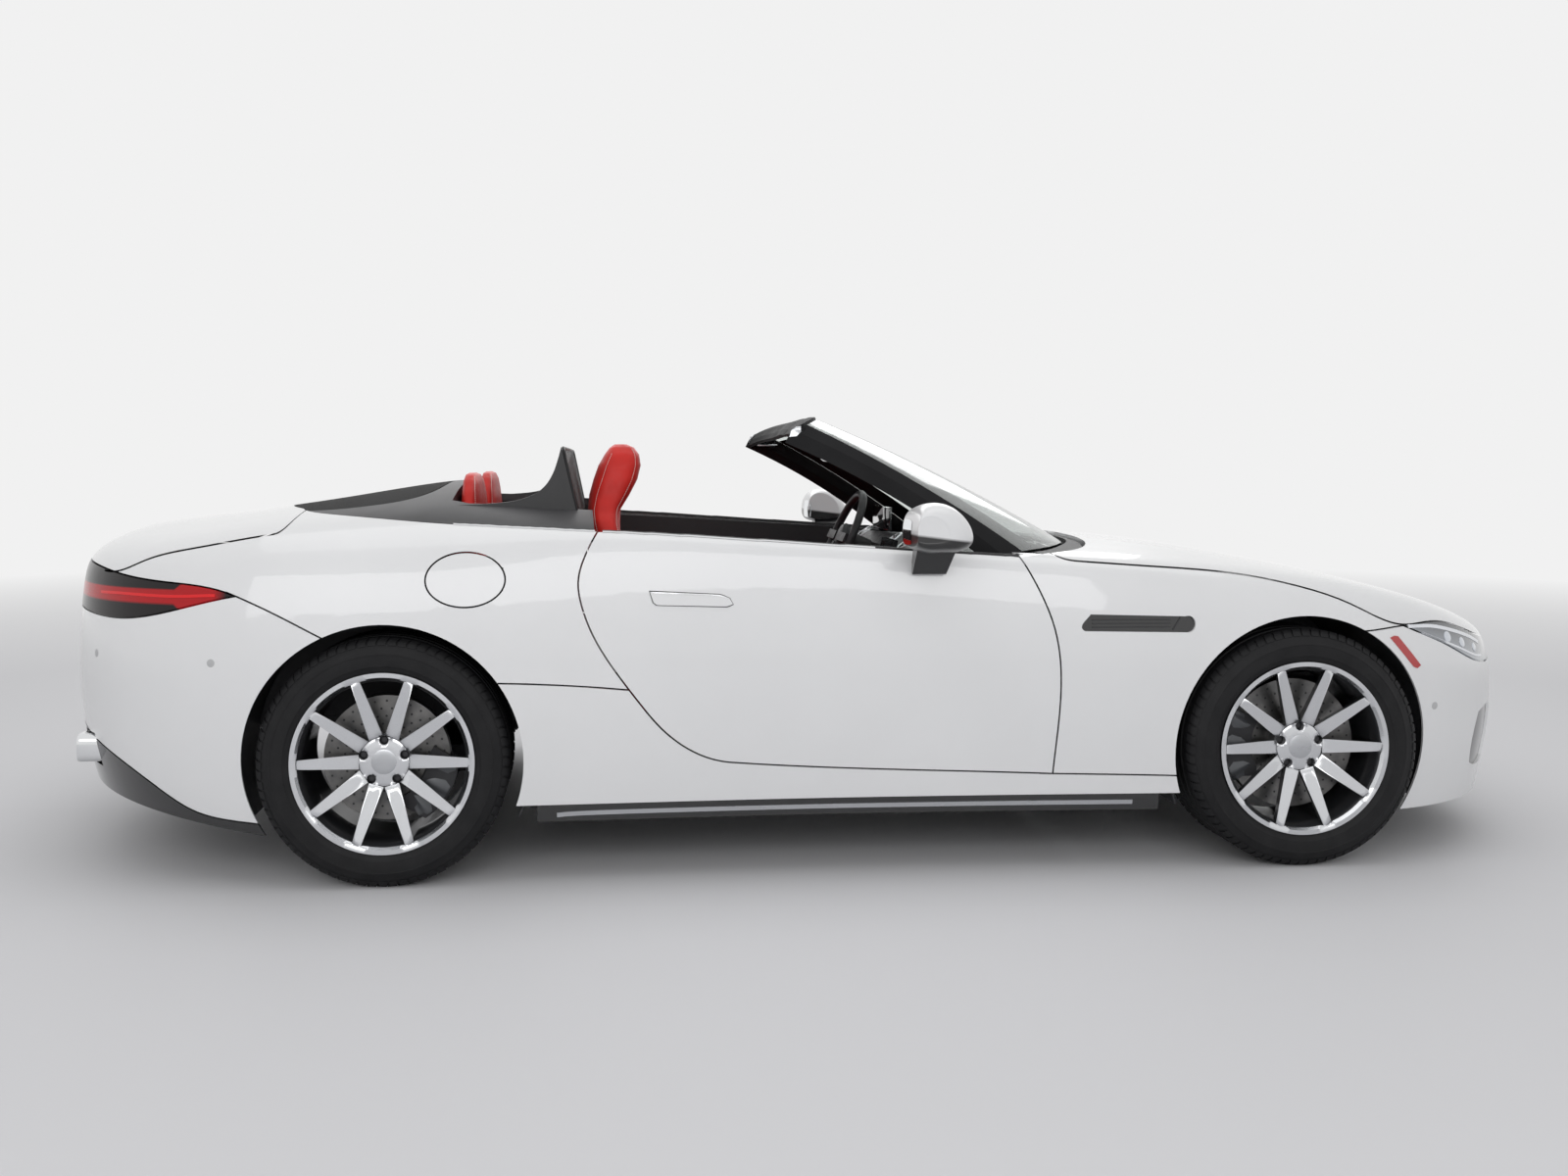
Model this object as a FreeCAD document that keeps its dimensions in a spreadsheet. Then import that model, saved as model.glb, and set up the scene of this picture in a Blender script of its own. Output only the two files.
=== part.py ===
"""Open two-seat roadster with small rear seats, built panel by panel at full size.

Frame: +X forward, +Y to the car's left, +Z up, in millimetres. The origin lies on the ground
under the middle of the overall box. The right side is the side at -Y.
"""

import FreeCAD, Part
import Sketcher
import math
import os

Vector = FreeCAD.Vector
X_AXIS = Vector(1, 0, 0)
Y_AXIS = Vector(0, 1, 0)
Z_AXIS = Vector(0, 0, 1)

doc = FreeCAD.newDocument("roadster")

# Driving dimensions

SIZES = {
    "overall_length": 4705,
    "overall_width": 1915,
    "wheelbase": 2700,
    "front_overhang": 940.5,
    "skin_base": 90,
    "skin_wall": 8,
    "shut_gap": 5,
    "seat_gap": 0.3,
    "tyre_radius": 355,
    "rim_radius": 258,
    "bead_radius": 241,
    "front_tyre_width": 250,
    "rear_tyre_width": 275,
    "front_track": 1632,
    "rear_track": 1606,
    "arch_radius": 395,
    "liner_radius": 412,
    "liner_wall": 5,
    "door_wall": 118,
    "floor_height": 205,
    "bumper_bottom": 150,
    "hood_wall": 28,
    "lid_wall": 28,
    "arch_lip_bottom": 224,
    "pin_radius": 6,
    "hub_radius": 78,
    "disc_front": 195,
    "disc_rear": 180,
    "disc_wall": 32,
    "steering_axis": 786,
    "steering_wheel_radius": 182,
    "seat_offset": 370,
    "engine_length": 640,
    "engine_width": 600,
    "engine_height": 560,
    "glass_wall": 5,
    "spindle_radius": 30,
}
sheet = doc.addObject("Spreadsheet::Sheet", "Sizes")
for row, (alias, value) in enumerate(SIZES.items(), start=1):
    sheet.set(f"A{row}", alias)
    sheet.set(f"B{row}", str(value))
    sheet.setAlias(f"B{row}", alias)
doc.recompute()


def size(alias):
    return float(getattr(sheet, alias))


nose = size("overall_length") / 2
tail = -nose
front_axle = nose - size("front_overhang")
rear_axle = front_axle - size("wheelbase")
half_width = size("overall_width") / 2
wheel_height = size("tyre_radius")
gap = size("shut_gap")
wall = size("skin_wall")


def along(share):
    """X at a share of the wheelbase, 0 at the rear axle and 1 at the front axle."""
    return rear_axle + share * (front_axle - rear_axle)


def line(points, place):
    """Smooth monotone curve through (place, value) pairs."""
    places = [p for p, _ in points]
    values = [v for _, v in points]
    if place <= places[0]:
        return values[0]
    if place >= places[-1]:
        return values[-1]
    last = len(points) - 1
    slopes = [(values[i + 1] - values[i]) / (places[i + 1] - places[i]) for i in range(last)]
    tangents = [slopes[0]]
    for before, after in zip(slopes, slopes[1:]):
        tangents.append(0.0 if before * after <= 0 else 2 * before * after / (before + after))
    tangents.append(slopes[-1])
    i = max(k for k in range(last) if places[k] <= place)
    step = places[i + 1] - places[i]
    t = (place - places[i]) / step
    return (
        (1 + 2 * t) * (1 - t) ** 2 * values[i]
        + t * (1 - t) ** 2 * step * tangents[i]
        + t * t * (3 - 2 * t) * values[i + 1]
        + t * t * (t - 1) * step * tangents[i + 1]
    )


# Outer skin: one smooth surface over the right half of the car
# A station runs round the plan outline: 0 tail, 1 rear axle, 2 front axle, 3 nose.

TAIL_POWER = 3.0
NOSE_POWER = 2.5
CORNER_POWER = 2.5
WAIST = [(1, 0), (1.144, -9), (1.33, -27), (1.48, -35), (1.66, -29), (1.85, -13), (2, -7)]
SPINE_TAIL = -2105
SPINE_NOSE = 2150


def outline(station):
    """Widest point (x, y) of the plan outline at a station, on the right side."""
    if station < 1:
        angle = math.radians(90 * (1 - station))
        reach = math.sin(angle) ** (2 / TAIL_POWER)
        width = max(math.cos(angle), 0) ** (2 / CORNER_POWER)
        return rear_axle + (tail - rear_axle) * reach, -half_width * width
    front_half = half_width + WAIST[-1][1]
    if station > 2:
        angle = math.radians(90 * (station - 2))
        reach = math.sin(angle) ** (2 / NOSE_POWER)
        width = max(math.cos(angle), 0) ** (2 / CORNER_POWER)
        return front_axle + (nose - front_axle) * reach, -front_half * width
    return along(station - 1), -(half_width + line(WAIST, station))


def spine_x(station):
    """X of the point on the centre line where a station's section ends."""
    x, _ = outline(station)
    if station < 1:
        return rear_axle + (SPINE_TAIL - rear_axle) * (x - rear_axle) / (tail - rear_axle)
    if station > 2:
        return front_axle + (SPINE_NOSE - front_axle) * (x - front_axle) / (nose - front_axle)
    return x


WIDEST_HEIGHT = [(0, 610), (0.5, 640), (1, 690), (1.25, 640), (1.5, 600), (2, 640), (2.5, 540), (3, 450)]
SHOULDER_HEIGHT = [
    (0, 905), (0.5, 912), (0.8, 975), (1, 1008), (1.224, 1010), (1.42, 982), (1.681, 936),
    (1.91, 893), (2, 868), (2.3, 765), (2.5, 700), (2.75, 660), (3, 645),
]
SPINE_HEIGHT = [
    (-2105, 1008), (-1935, 1032), (-1800, 1048), (-1700, 1062), (-1575, 1080), (-1215, 1140), (-1122, 1150),
    (-700, 1110), (0, 1010), (551, 972), (904, 957), (1050, 949), (1233, 932), (1417, 904), (1602, 866),
    (1788, 822), (1976, 773), (2150, 718),
]
BOTTOM_INSET = [(0, 150), (0.5, 130), (1, 60), (1.5, 62), (2, 60), (2.5, 70), (3, 70)]
LOW_INSET = [(0, 46), (0.5, 38), (1, 22), (1.5, 22), (2, 20), (2.5, 22), (3, 20)]
LOWER_SIDE_INSET = [(0, 8), (1, 4), (1.5, 6), (2, 4), (3, 4)]
UPPER_SIDE_INSET = [
    (0, 10), (0.5, 14), (0.8, 26), (1, 24), (1.3, 14), (1.5, 10), (1.8, 12), (2, 12), (2.5, 16), (3, 16),
]
UNDER_SHOULDER_INSET = [
    (0, 22), (0.5, 34), (0.8, 62), (1, 66), (1.25, 42), (1.5, 30), (1.8, 36), (2, 38), (2.5, 44), (3, 40),
]
SHOULDER_INSET = [
    (0, 36), (0.5, 60), (0.8, 105), (1, 118), (1.25, 68), (1.5, 52), (1.8, 62), (2, 76), (2.5, 88), (3, 70),
]
TOP_EDGE_INSET = [
    (0, 80), (0.5, 130), (0.8, 190), (1, 215), (1.25, 170), (1.5, 150), (1.8, 170), (2, 190), (2.5, 170),
    (3, 105),
]
CROWN = 0.62


def section(station):
    """Poles of one section, from the sill to the centre line, as (inset, height) pairs."""
    x, y = outline(station)
    reach = math.hypot(spine_x(station) - x, y)
    widest = line(WIDEST_HEIGHT, station)
    shoulder = line(SHOULDER_HEIGHT, station)
    spine = line(SPINE_HEIGHT, spine_x(station))
    base = size("skin_base")
    edge = min(line(TOP_EDGE_INSET, station), 0.6 * reach)
    rise = spine - shoulder
    edge_height = shoulder + rise * line([(0, 0.42), (1, 0.42), (1.2, 0.3), (2, 0.3), (3, 0.4)], station)
    return [
        (line(BOTTOM_INSET, station), base),
        (0.55 * line(BOTTOM_INSET, station) + 0.45 * line(LOW_INSET, station), base + 80),
        (line(LOW_INSET, station), base + 200),
        (line(LOWER_SIDE_INSET, station), widest - 0.32 * (widest - base)),
        (0, widest),
        (line(UPPER_SIDE_INSET, station), widest + 0.5 * (shoulder - widest)),
        (line(UNDER_SHOULDER_INSET, station), shoulder - 0.16 * (shoulder - widest)),
        (line(SHOULDER_INSET, station), shoulder),
        (edge, edge_height),
        (edge + 0.35 * (reach - edge), edge_height + (spine - edge_height) * CROWN),
        (edge + 0.68 * (reach - edge), edge_height + (spine - edge_height) * 0.94),
        (edge + 0.9 * (reach - edge), spine),
        (reach, spine),
    ]


STATIONS = (
    [0, 0.035] + [0.1 * k for k in range(1, 10)]
    + [1 + k / 16 for k in range(17)]
    + [2 + 0.1 * k for k in range(1, 10)] + [2.965, 3]
)


def pole_grid():
    """Poles of the right half of the skin, one row for each station."""
    rows = []
    for station in STATIONS:
        x, y = outline(station)
        end = spine_x(station)
        reach = math.hypot(end - x, y)
        direction = Vector((end - x) / reach, -y / reach, 0)
        rows.append([Vector(x, y, 0) + direction * inset + Z_AXIS * z for inset, z in section(station)])
    for first, second in ((0, 1), (-1, -2)):
        for pole, beside in zip(rows[first], rows[second]):
            pole.y = 0
            beside.x = pole.x
            beside.z = pole.z
    for row in rows:
        row[-2].x = row[-1].x
        row[-2].z = row[-1].z
    return rows


def inward(rows, depth):
    """The same poles moved by a depth along the inner normal, with the ends kept on the centre plane."""
    if depth == 0:
        return rows
    moved = []
    last_row, last = len(rows) - 1, len(rows[0]) - 1
    for i, row in enumerate(rows):
        new_row = []
        for k, pole in enumerate(row):
            along_u = rows[min(i + 1, last_row)][k] - rows[max(i - 1, 0)][k]
            if i in (0, last_row):
                along_u = Vector(0, -1 if i == 0 else 1, 0)
            along_v = row[min(k + 1, last)] - row[max(k - 1, 0)]
            if k == last:
                along_v = Y_AXIS
            normal = along_v.cross(along_u)
            if normal.Length < 1e-6:
                normal = Vector(0, 0, -1)
            normal.normalize()
            point = pole + normal * depth
            if i in (0, last_row) or k == last:
                point.y = 0
            if k == 0:
                point.z = pole.z - depth
            new_row.append(point)
        moved.append(new_row)
    for first, second in ((0, 1), (-1, -2)):
        for pole, beside in zip(moved[first], moved[second]):
            beside.x = pole.x
            beside.z = pole.z
    for row in moved:
        row[-2].x = row[-1].x
        row[-2].z = row[-1].z
    return moved


def knots(count, degree=3):
    inner = count - degree - 1
    values = [float(k) for k in range(inner + 2)]
    return values, [degree + 1] + [1] * inner + [degree + 1]


def surface(rows):
    """Cubic surface over a grid of poles."""
    u_knots, u_mults = knots(len(rows))
    v_knots, v_mults = knots(len(rows[0]))
    made = Part.BSplineSurface()
    made.buildFromPolesMultsKnots(rows, u_mults, v_mults, u_knots, v_knots, False, False, 3, 3)
    return made


def closed(faces):
    """A solid sewn from faces that close."""
    shell = Part.makeShell(faces)
    shell.sewShape()
    solid = Part.makeSolid(Part.Shell(shell.Faces))
    if solid.Volume < 0:
        solid.reverse()
    return solid


def half_body(depth):
    """Solid of the right half of the body, its skin moved in by a depth."""
    made = surface(inward(pole_grid(), depth))
    skin = made.toShape()
    ends = [made.uIso(value).toShape() for value in made.bounds()[:2]]
    spine = made.vIso(made.bounds()[3]).toShape()
    sill = made.vIso(made.bounds()[2]).toShape()
    start, finish = sill.Vertexes[0].Point, sill.Vertexes[-1].Point
    keel = Part.makeLine(start, finish)
    centre = Part.Face(Part.Wire(Part.__sortEdges__([ends[0], spine, ends[1], keel])))
    base = Part.Face(Part.Wire(Part.__sortEdges__([sill, keel])))
    return closed([skin, centre, base])


# Outlines and cutting tools
# A place along the car is a station, as for the skin, so that panels follow the axles and the two ends.

REACH = half_width + 150


def place(station):
    """X of a station on a straight side: 0 tail, 1 rear axle, 2 front axle, 3 nose."""
    if station < 1:
        return rear_axle + (1 - station) * (tail - rear_axle)
    if station > 2:
        return front_axle + (station - 2) * (nose - front_axle)
    return along(station - 1)


def curve(points):
    """One edge through points: a line for two, a spline for more."""
    if len(points) == 2:
        return Part.makeLine(*points)
    spline = Part.BSplineCurve()
    spline.interpolate(points)
    return spline.toShape()


def swept(strokes, direction):
    """Solid swept from a closed outline of strokes, each a list of points that ends where the next begins."""
    return Part.Face(Part.Wire([curve(stroke) for stroke in strokes])).extrude(direction)


def sides(*corners):
    """Strokes of a straight-sided outline."""
    return [[corner, after] for corner, after in zip(corners, corners[1:] + corners[:1])]


def side_swept(strokes, start, finish):
    """Solid between two Y values, with its outline in side view as (station, height) pairs."""
    points = [[Vector(place(s), start, z) for s, z in stroke] for stroke in strokes]
    return swept(points, Vector(0, finish - start, 0))


def plan_swept(strokes, low, high):
    """Solid between two heights, with its outline in plan view as (station, y) pairs."""
    points = [[Vector(place(s), y, low) for s, y in stroke] for stroke in strokes]
    return swept(points, Vector(0, 0, high - low))


def ribbon(points, width, direction):
    """Thin solid that follows an open curve, for cutting a shut line of a given width."""
    edge = curve(points)
    across = Vector(direction).normalize()
    steps = 4 * (len(points) - 1)
    first, last = edge.ParameterRange
    left, right = [], []
    for k in range(steps + 1):
        at = first + (last - first) * k / steps
        point = edge.valueAt(at)
        sideways = edge.tangentAt(at).cross(across)
        sideways.normalize()
        left.append(point + sideways * (width / 2))
        right.insert(0, point - sideways * (width / 2))
    return swept([left, [left[-1], right[0]], right, [right[-1], left[0]]], direction)


def side_line(pairs, width=gap, start=-REACH, finish=-300):
    return ribbon([Vector(place(s), start, z) for s, z in pairs], width, Vector(0, finish - start, 0))


def end_line(pairs, x0, x1, width=gap):
    return ribbon([Vector(x0, y, z) for y, z in pairs], width, Vector(x1 - x0, 0, 0))


def box(x0, x1, y0, y1, z0, z1):
    return Part.makeBox(x1 - x0, y1 - y0, z1 - z0, Vector(x0, y0, z0))


def cylinder(radius, start, finish):
    axis = finish - start
    return Part.makeCylinder(radius, axis.Length, start, axis)


def mirrored(shape):
    return shape.mirror(Vector(0, 0, 0), Y_AXIS)


def both_sides(shape):
    """The shape and its mirror image, fused where they meet on the centre plane."""
    return shape.fuse(mirrored(shape)).removeSplitter()


def apart(shapes):
    """Solids that stay separate in one piece of the document."""
    return Part.makeCompound([solid for shape in shapes for solid in shape.Solids])


def at_point(shape, point):
    """The solid of a shape that lies nearest to a point."""
    probe = Part.Vertex(point)
    return min(shape.Solids, key=lambda solid: solid.distToShape(probe)[0])


# Shut lines of the body, in side view

DOOR_FRONT = [
    (1.655, 1070), (1.685, 926), (1.702, 836), (1.718, 723), (1.725, 579), (1.723, 434), (1.719, 288),
]
DOOR_BOTTOM = [(1.719, 288), (1.639, 297), (1.477, 316), (1.365, 338)]
DOOR_REAR = [
    (1.365, 338), (1.318, 384), (1.293, 438), (1.266, 525), (1.239, 624), (1.22, 709), (1.208, 792),
    (1.204, 869),
    (1.21, 930), (1.224, 1003), (1.243, 1070),
]
DOOR_TOP = [DOOR_REAR[-1], DOOR_FRONT[0]]
HOOD_SIDE = [
    (1.712, 1010), (1.717, 960), (1.728, 928), (1.755, 911), (1.838, 895), (1.928, 873), (1.996, 836),
    (2.157, 782), (2.327, 719),
    (2.46, 722), (2.612, 693), (2.747, 655), (2.854, 640), (3.05, 634),
]
HEADLAMP_LOW = [
    (2.327, 719), (2.406, 690), (2.51, 652), (2.674, 588), (2.753, 576), (2.84, 590), (2.858, 650),
]
NOSE_SEAM = [(2.36, 716), (2.273, 709), (2.221, 704), (2.15, 702)]
TAIL_LAMP_TOP = [(-0.05, 893), (0.194, 893), (0.292, 877), (0.419, 864), (0.531, 853), (0.617, 829)]
TAIL_LAMP_LOW = [(0.617, 829), (0.51, 804), (0.287, 757), (0.2, 758), (-0.05, 776)]
TAIL_SEAM = [(0.59, 840), (0.617, 829), (0.723, 780), (0.814, 731), (0.9, 685)]
BOOT_SIDE = [(0.2, 886), (0.261, 889), (0.345, 923), (0.487, 959), (0.62, 985), (0.7, 999)]
BOOT_CORNER = [(0.7, 999), (0.722, 1020), (0.727, 1045), (0.715, 1090)]
QUARTER_SEAM = [(1.12, 581), (1.194, 571), (1.262, 554)]
SILL_SEAM = [(1.705, 289), (1.719, 288), (1.78, 284), (1.88, 275)]
TAIL_LOW = [
    (-0.05, 428), (0.096, 408), (0.175, 380), (0.289, 328), (0.382, 273), (0.495, 209), (0.605, 187),
    (0.72, 175),
]
TAIL_RISE = 262
TAIL_FLOOR = 142
UNDER_TAIL = [(-0.02, 0), (-0.02, TAIL_RISE), (0.7, TAIL_FLOOR), (1, TAIL_FLOOR), (1, 0)]
UNDER_FRONT = 202
LID_LOW = 750
LAMP_END = 430

# Edge of the open cockpit, in plan: the belt line on the right, the bonnet's rear edge, the deck's rear edge

BELT = [
    (0.709, -480), (0.831, -680), (1.024, -790), (1.109, -824), (1.172, -843), (1.224, -856), (1.319, -862),
    (1.426, -862), (1.533, -864), (1.619, -866), (1.689, -866),
]
COWL_EDGE = [(1.689, -866), (1.736, -800), (1.792, -610), (1.823, -330), (1.833, 0)]
DECK_EDGE = [(0.613, 0), (0.63, -240), (0.709, -480)]


def cockpit(low=600, high=1300):
    """Solid over the open cockpit's right half, from the deck's rear edge to the bonnet."""
    return plan_swept([DECK_EDGE, BELT, COWL_EDGE, [COWL_EDGE[-1], DECK_EDGE[0]]], low, high)


def inset_cockpit(margin):
    """The open cockpit's right half drawn in by a margin at its edge."""
    deck_edge = [(s + margin / 1000, y) for s, y in DECK_EDGE]
    belt = [deck_edge[-1]] + [(s, y + margin) for s, y in BELT[1:]]
    shift = margin / size("wheelbase")
    inner = [(s - shift, y + margin) for s, y in COWL_EDGE[1:-1]]
    bonnet_edge = [belt[-1]] + inner + [(COWL_EDGE[-1][0] - shift, 0)]
    return plan_swept([deck_edge, belt, bonnet_edge, [bonnet_edge[-1], deck_edge[0]]], 600, 1300)


def arch_cut(axle, radius, inner=-600):
    return cylinder(radius, Vector(axle, inner, wheel_height), Vector(axle, -REACH, wheel_height))


def shut_lines():
    """Everything that parts the skin of the right half into its panels."""
    return [
        side_line(DOOR_FRONT),
        side_line(DOOR_BOTTOM),
        side_line(DOOR_REAR),
        side_line(HOOD_SIDE, finish=10),
        side_line(HEADLAMP_LOW),
        side_line(NOSE_SEAM),
        side_line(TAIL_LAMP_TOP, finish=-LAMP_END),
        side_line(TAIL_LAMP_LOW, finish=-LAMP_END),
        side_line(TAIL_SEAM),
        side_line(BOOT_SIDE),
        side_line(BOOT_CORNER),
        side_line(QUARTER_SEAM),
        side_line(SILL_SEAM),
        side_line(TAIL_LOW, finish=10),
        end_line([(-LAMP_END, 910), (-LAMP_END, LID_LOW)], tail - 20, place(0.2)),
        end_line([(-LAMP_END - gap, LID_LOW), (10, LID_LOW)], tail - 20, place(0.2)),
        cockpit(),
        arch_cut(front_axle, size("arch_radius")),
        arch_cut(rear_axle, size("arch_radius")),
        box(rear_axle, front_axle, -REACH, 10, 0, size("arch_lip_bottom")),
        box(front_axle, nose + 10, -REACH, 10, 0, size("bumper_bottom")),
        side_swept(sides(*UNDER_TAIL), -REACH, 10),
    ]


# Document pieces

pieces = {}


def piece(name, shape):
    """A piece whose shape is worked out here from the sizes in the sheet."""
    made = doc.addObject("Part::Feature", name)
    made.Label = name
    made.Shape = shape
    made.Placement = FreeCAD.Placement()
    pieces[name] = made
    return made


outer = half_body(0)
lining = half_body(wall)
inside = half_body(wall + size("seat_gap"))
cuts = shut_lines()
thin_panels = outer.cut(lining).cut(cuts)
thick_panels = outer.cut(half_body(size("hood_wall"))).cut(cuts)
SEAT = size("seat_gap")


def skin_panel(panels, station, y, z):
    """Panel of the skin that lies nearest to a point on the right side."""
    return at_point(panels, Vector(place(station), y, z))


def pair(name, right):
    return piece(name, apart([right, mirrored(right)]))


# Plain panels

VENT = [
    [(1.752, 710), (1.748, 722), (1.751, 738), (1.758, 759)],
    [(1.758, 759), (1.863, 752)],
    [(1.863, 752), (1.873, 742), (1.874, 728), (1.865, 705)],
    [(1.865, 705), (1.752, 710)],
]
VENT_BACK = sides((1.735, 695), (1.735, 775), (1.89, 768), (1.89, 690))


EDGE_LIP = 3
EDGE_RELIEF = 7


def fenders():
    """Front wings, thinned to a lip behind the door so that the door's edge can swing inside it."""
    fender = skin_panel(thin_panels, 1.85, -940, 500)
    relief = side_line(DOOR_FRONT, width=gap + 2 * EDGE_RELIEF).common(half_body(EDGE_LIP))
    pair("fenders", fender.cut([relief, side_swept(VENT, -REACH, -850)]))
    back = inside.common(side_swept(VENT_BACK, -REACH, -905))
    pair("side_vents", back)


# Fuel flap in the right rear quarter, on a hinge just behind its front edge

FLAP_CENTRE = Vector(place(1.086), 0, 872)
FLAP_LONG = 109.5
FLAP_SHORT = 74
FLAP_PIN = 1.8
FLAP_BOSS = 7
FLAP_EAR = 14
FLAP_WALL = -800
FLAP_DEPTH = 5
FLAP_ROOM = 4
FLAP_FOOT = 2.4


def flap_bar(grow):
    """Elliptic bar across the right side, the outline of the flap and of its opening."""
    edge = Part.Ellipse(Vector(0, 0, 0), FLAP_LONG + grow, FLAP_SHORT + grow).toShape()
    edge.rotate(Vector(0, 0, 0), X_AXIS, 90)
    edge.translate(Vector(FLAP_CENTRE.x, -REACH, FLAP_CENTRE.z))
    return Part.Face(Part.Wire(edge)).extrude(Vector(0, REACH - 700, 0))


def skin_y(x, z):
    return outer.common(Part.makeLine(Vector(x, -REACH, z), Vector(x, 0, z))).BoundBox.YMin


def flap_axis():
    """Hinge axis under the skin: its middle and its direction, which follows the panel's slope."""
    x = FLAP_CENTRE.x + FLAP_LONG - 8
    heights = (FLAP_CENTRE.z - 20, FLAP_CENTRE.z + 20)
    low, high = (Vector(x, skin_y(x, z) + FLAP_DEPTH, z) for z in heights)
    return (low + high) * 0.5, (high - low).normalize()


FLAP_MIDDLE, FLAP_LINE = flap_axis()


def flap_rod(radius, start, finish):
    return Part.makeCylinder(radius, finish - start, FLAP_MIDDLE + FLAP_LINE * start, FLAP_LINE)


def flap_opening(panel):
    """The quarter panel cut for the flap, with room beside the hinge for the flap's turning edge."""
    return panel.cut([flap_bar(gap), flap_rod(FLAP_DEPTH + 1.5, -34, 34)])


def fuel_flap(panel):
    flap = max(panel.common(flap_bar(0)).Solids, key=lambda solid: solid.Volume)
    for start, finish in ((FLAP_BOSS, FLAP_EAR + 2), (-FLAP_EAR - 2, -FLAP_BOSS)):
        for ahead in (0, 3, 6, 9):
            room = flap_rod(FLAP_ROOM, start, finish)
            room.translate(Vector(ahead, 0, 0))
            flap = flap.cut(room)
    boss = flap_rod(FLAP_DEPTH - 0.5, -FLAP_BOSS + SEAT, FLAP_BOSS - SEAT)
    flap = flap.fuse(boss).cut(flap_rod(FLAP_PIN + SEAT, -FLAP_EAR, FLAP_EAR))
    piece("fuel_flap", max(flap.Solids, key=lambda solid: solid.Volume))


def flap_bracket():
    """Ears and pin that carry the flap, on arms from the inner quarter wall, with the filler cap behind."""
    made = [flap_rod(FLAP_PIN, -FLAP_EAR, FLAP_EAR)]
    inward = FLAP_LINE.cross(X_AXIS)
    reach = (FLAP_WALL + 2 - FLAP_MIDDLE.y) / inward.y
    for side in (-1, 1):
        start, finish = sorted((side * (FLAP_BOSS + SEAT), side * FLAP_EAR))
        made.append(flap_rod(FLAP_ROOM - 0.6, start, finish))
        foot = FLAP_MIDDLE + FLAP_LINE * (0.5 * (start + finish))
        made.append(Part.makeCylinder(FLAP_FOOT, reach, foot, inward))
    filler = Vector(FLAP_CENTRE.x, FLAP_WALL, FLAP_CENTRE.z - 10)
    made.append(cylinder(40, filler, filler + Vector(0, -46, 0)))
    return made


def plain_panels():
    fenders()
    quarter = skin_panel(thin_panels, 1.0, -930, 800)
    piece("quarter_panels", apart([flap_opening(quarter), mirrored(quarter)]))
    fuel_flap(quarter)
    pair("sills", skin_panel(thin_panels, 1.5, -905, 260))
    bumper = skin_panel(thin_panels, 2.8, -500, 350)
    piece("front_bumper", both_sides(bumper.cut([intake(outline) for outline in INTAKES])))
    piece("grille", grille())
    piece("rear_bumper", both_sides(skin_panel(thin_panels, 0.3, -850, 550).cut(TIP_ROOM)))
    piece("diffuser", both_sides(diffuser(skin_panel(thin_panels, 0.1, -300, 300))))
    pair("exhaust_tips", exhaust_tips())
    lamp_pair("headlamps", skin_panel(thick_panels, 2.5, -850, 690), HEADLAMP_BACK)
    lamp_pair("tail_lamps", skin_panel(thick_panels, 0.3, -780, 820), TAIL_LAMP_BACK)


# Front intakes with the grille behind them, diffuser and exhaust tips

MAIN_INTAKE = [
    [(10, 612), (-300, 606), (-430, 585)],
    [(-430, 585), (-478, 540), (-470, 470)],
    [(-470, 470), (-430, 405), (-330, 388)],
    [(-330, 388), (10, 384)],
    [(10, 384), (10, 612)],
]
LOW_INTAKE = [
    [(10, 318), (-420, 318), (-520, 330)],
    [(-520, 330), (-570, 280), (-560, 222)],
    [(-560, 222), (10, 214)],
    [(10, 214), (10, 318)],
]
SIDE_INTAKE = [
    [(-640, 432), (-700, 440), (-760, 424)],
    [(-760, 424), (-770, 350), (-752, 262)],
    [(-752, 262), (-690, 246), (-636, 262)],
    [(-636, 262), (-626, 350), (-640, 432)],
]
INTAKES = (MAIN_INTAKE, LOW_INTAKE, SIDE_INTAKE)
SLAT_PITCH = 24
SLAT_WALL = 8
TIP_LOW = 304
TIP_HIGH = 392
TIP_OUTER = -632
TIP_INNER = -456
TIP_ROOM = box(tail - 20, place(0.35), TIP_OUTER - 5, TIP_INNER + 5, TIP_LOW - 5, TIP_HIGH + 5)


def intake(strokes):
    points = [[Vector(front_axle + 420, y, z) for y, z in stroke] for stroke in strokes]
    return swept(points, Vector(nose - front_axle, 0, 0))


def grille():
    """Slatted screen that follows the bumper's inner face behind the intakes."""
    area = box(nose - 420, nose, -800, 10, 200, 548).fuse(box(nose - 420, nose, -LAMP_END - 25, 10, 540, 630))
    plate = inside.common(area).cut(half_body(wall + SEAT + 9))
    slots = []
    for low, high, reach in ((392, 604, -440), (222, 312, -530)):
        z = low + 14
        while z + SLAT_PITCH - SLAT_WALL < high:
            slots.append(box(nose - 420, nose, reach, 12, z, z + SLAT_PITCH - SLAT_WALL))
            z += SLAT_PITCH
    plate = max(plate.cut(slots).Solids, key=lambda solid: solid.Volume)
    return both_sides(plate)


def diffuser(skin):
    """Lower rear skin with a ribbed panel under it that rises to the tail."""
    section = [(-0.02, TAIL_RISE), (0.4, UNDER_FRONT), (0.4, UNDER_FRONT + wall), (-0.02, TAIL_RISE + wall)]
    under = outer.common(side_swept(sides(*section), -560, 10))
    ribs = [
        side_swept(sides((0.02, 258), (0.36, 208), (0.36, 190), (0.06, 190)), y, y + wall)
        for y in (-380, -230, -80)
    ]
    made = skin.fuse([under] + [rib.common(outer) for rib in ribs]).cut(TIP_ROOM)
    return max(made.Solids, key=lambda solid: solid.Volume)


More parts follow.
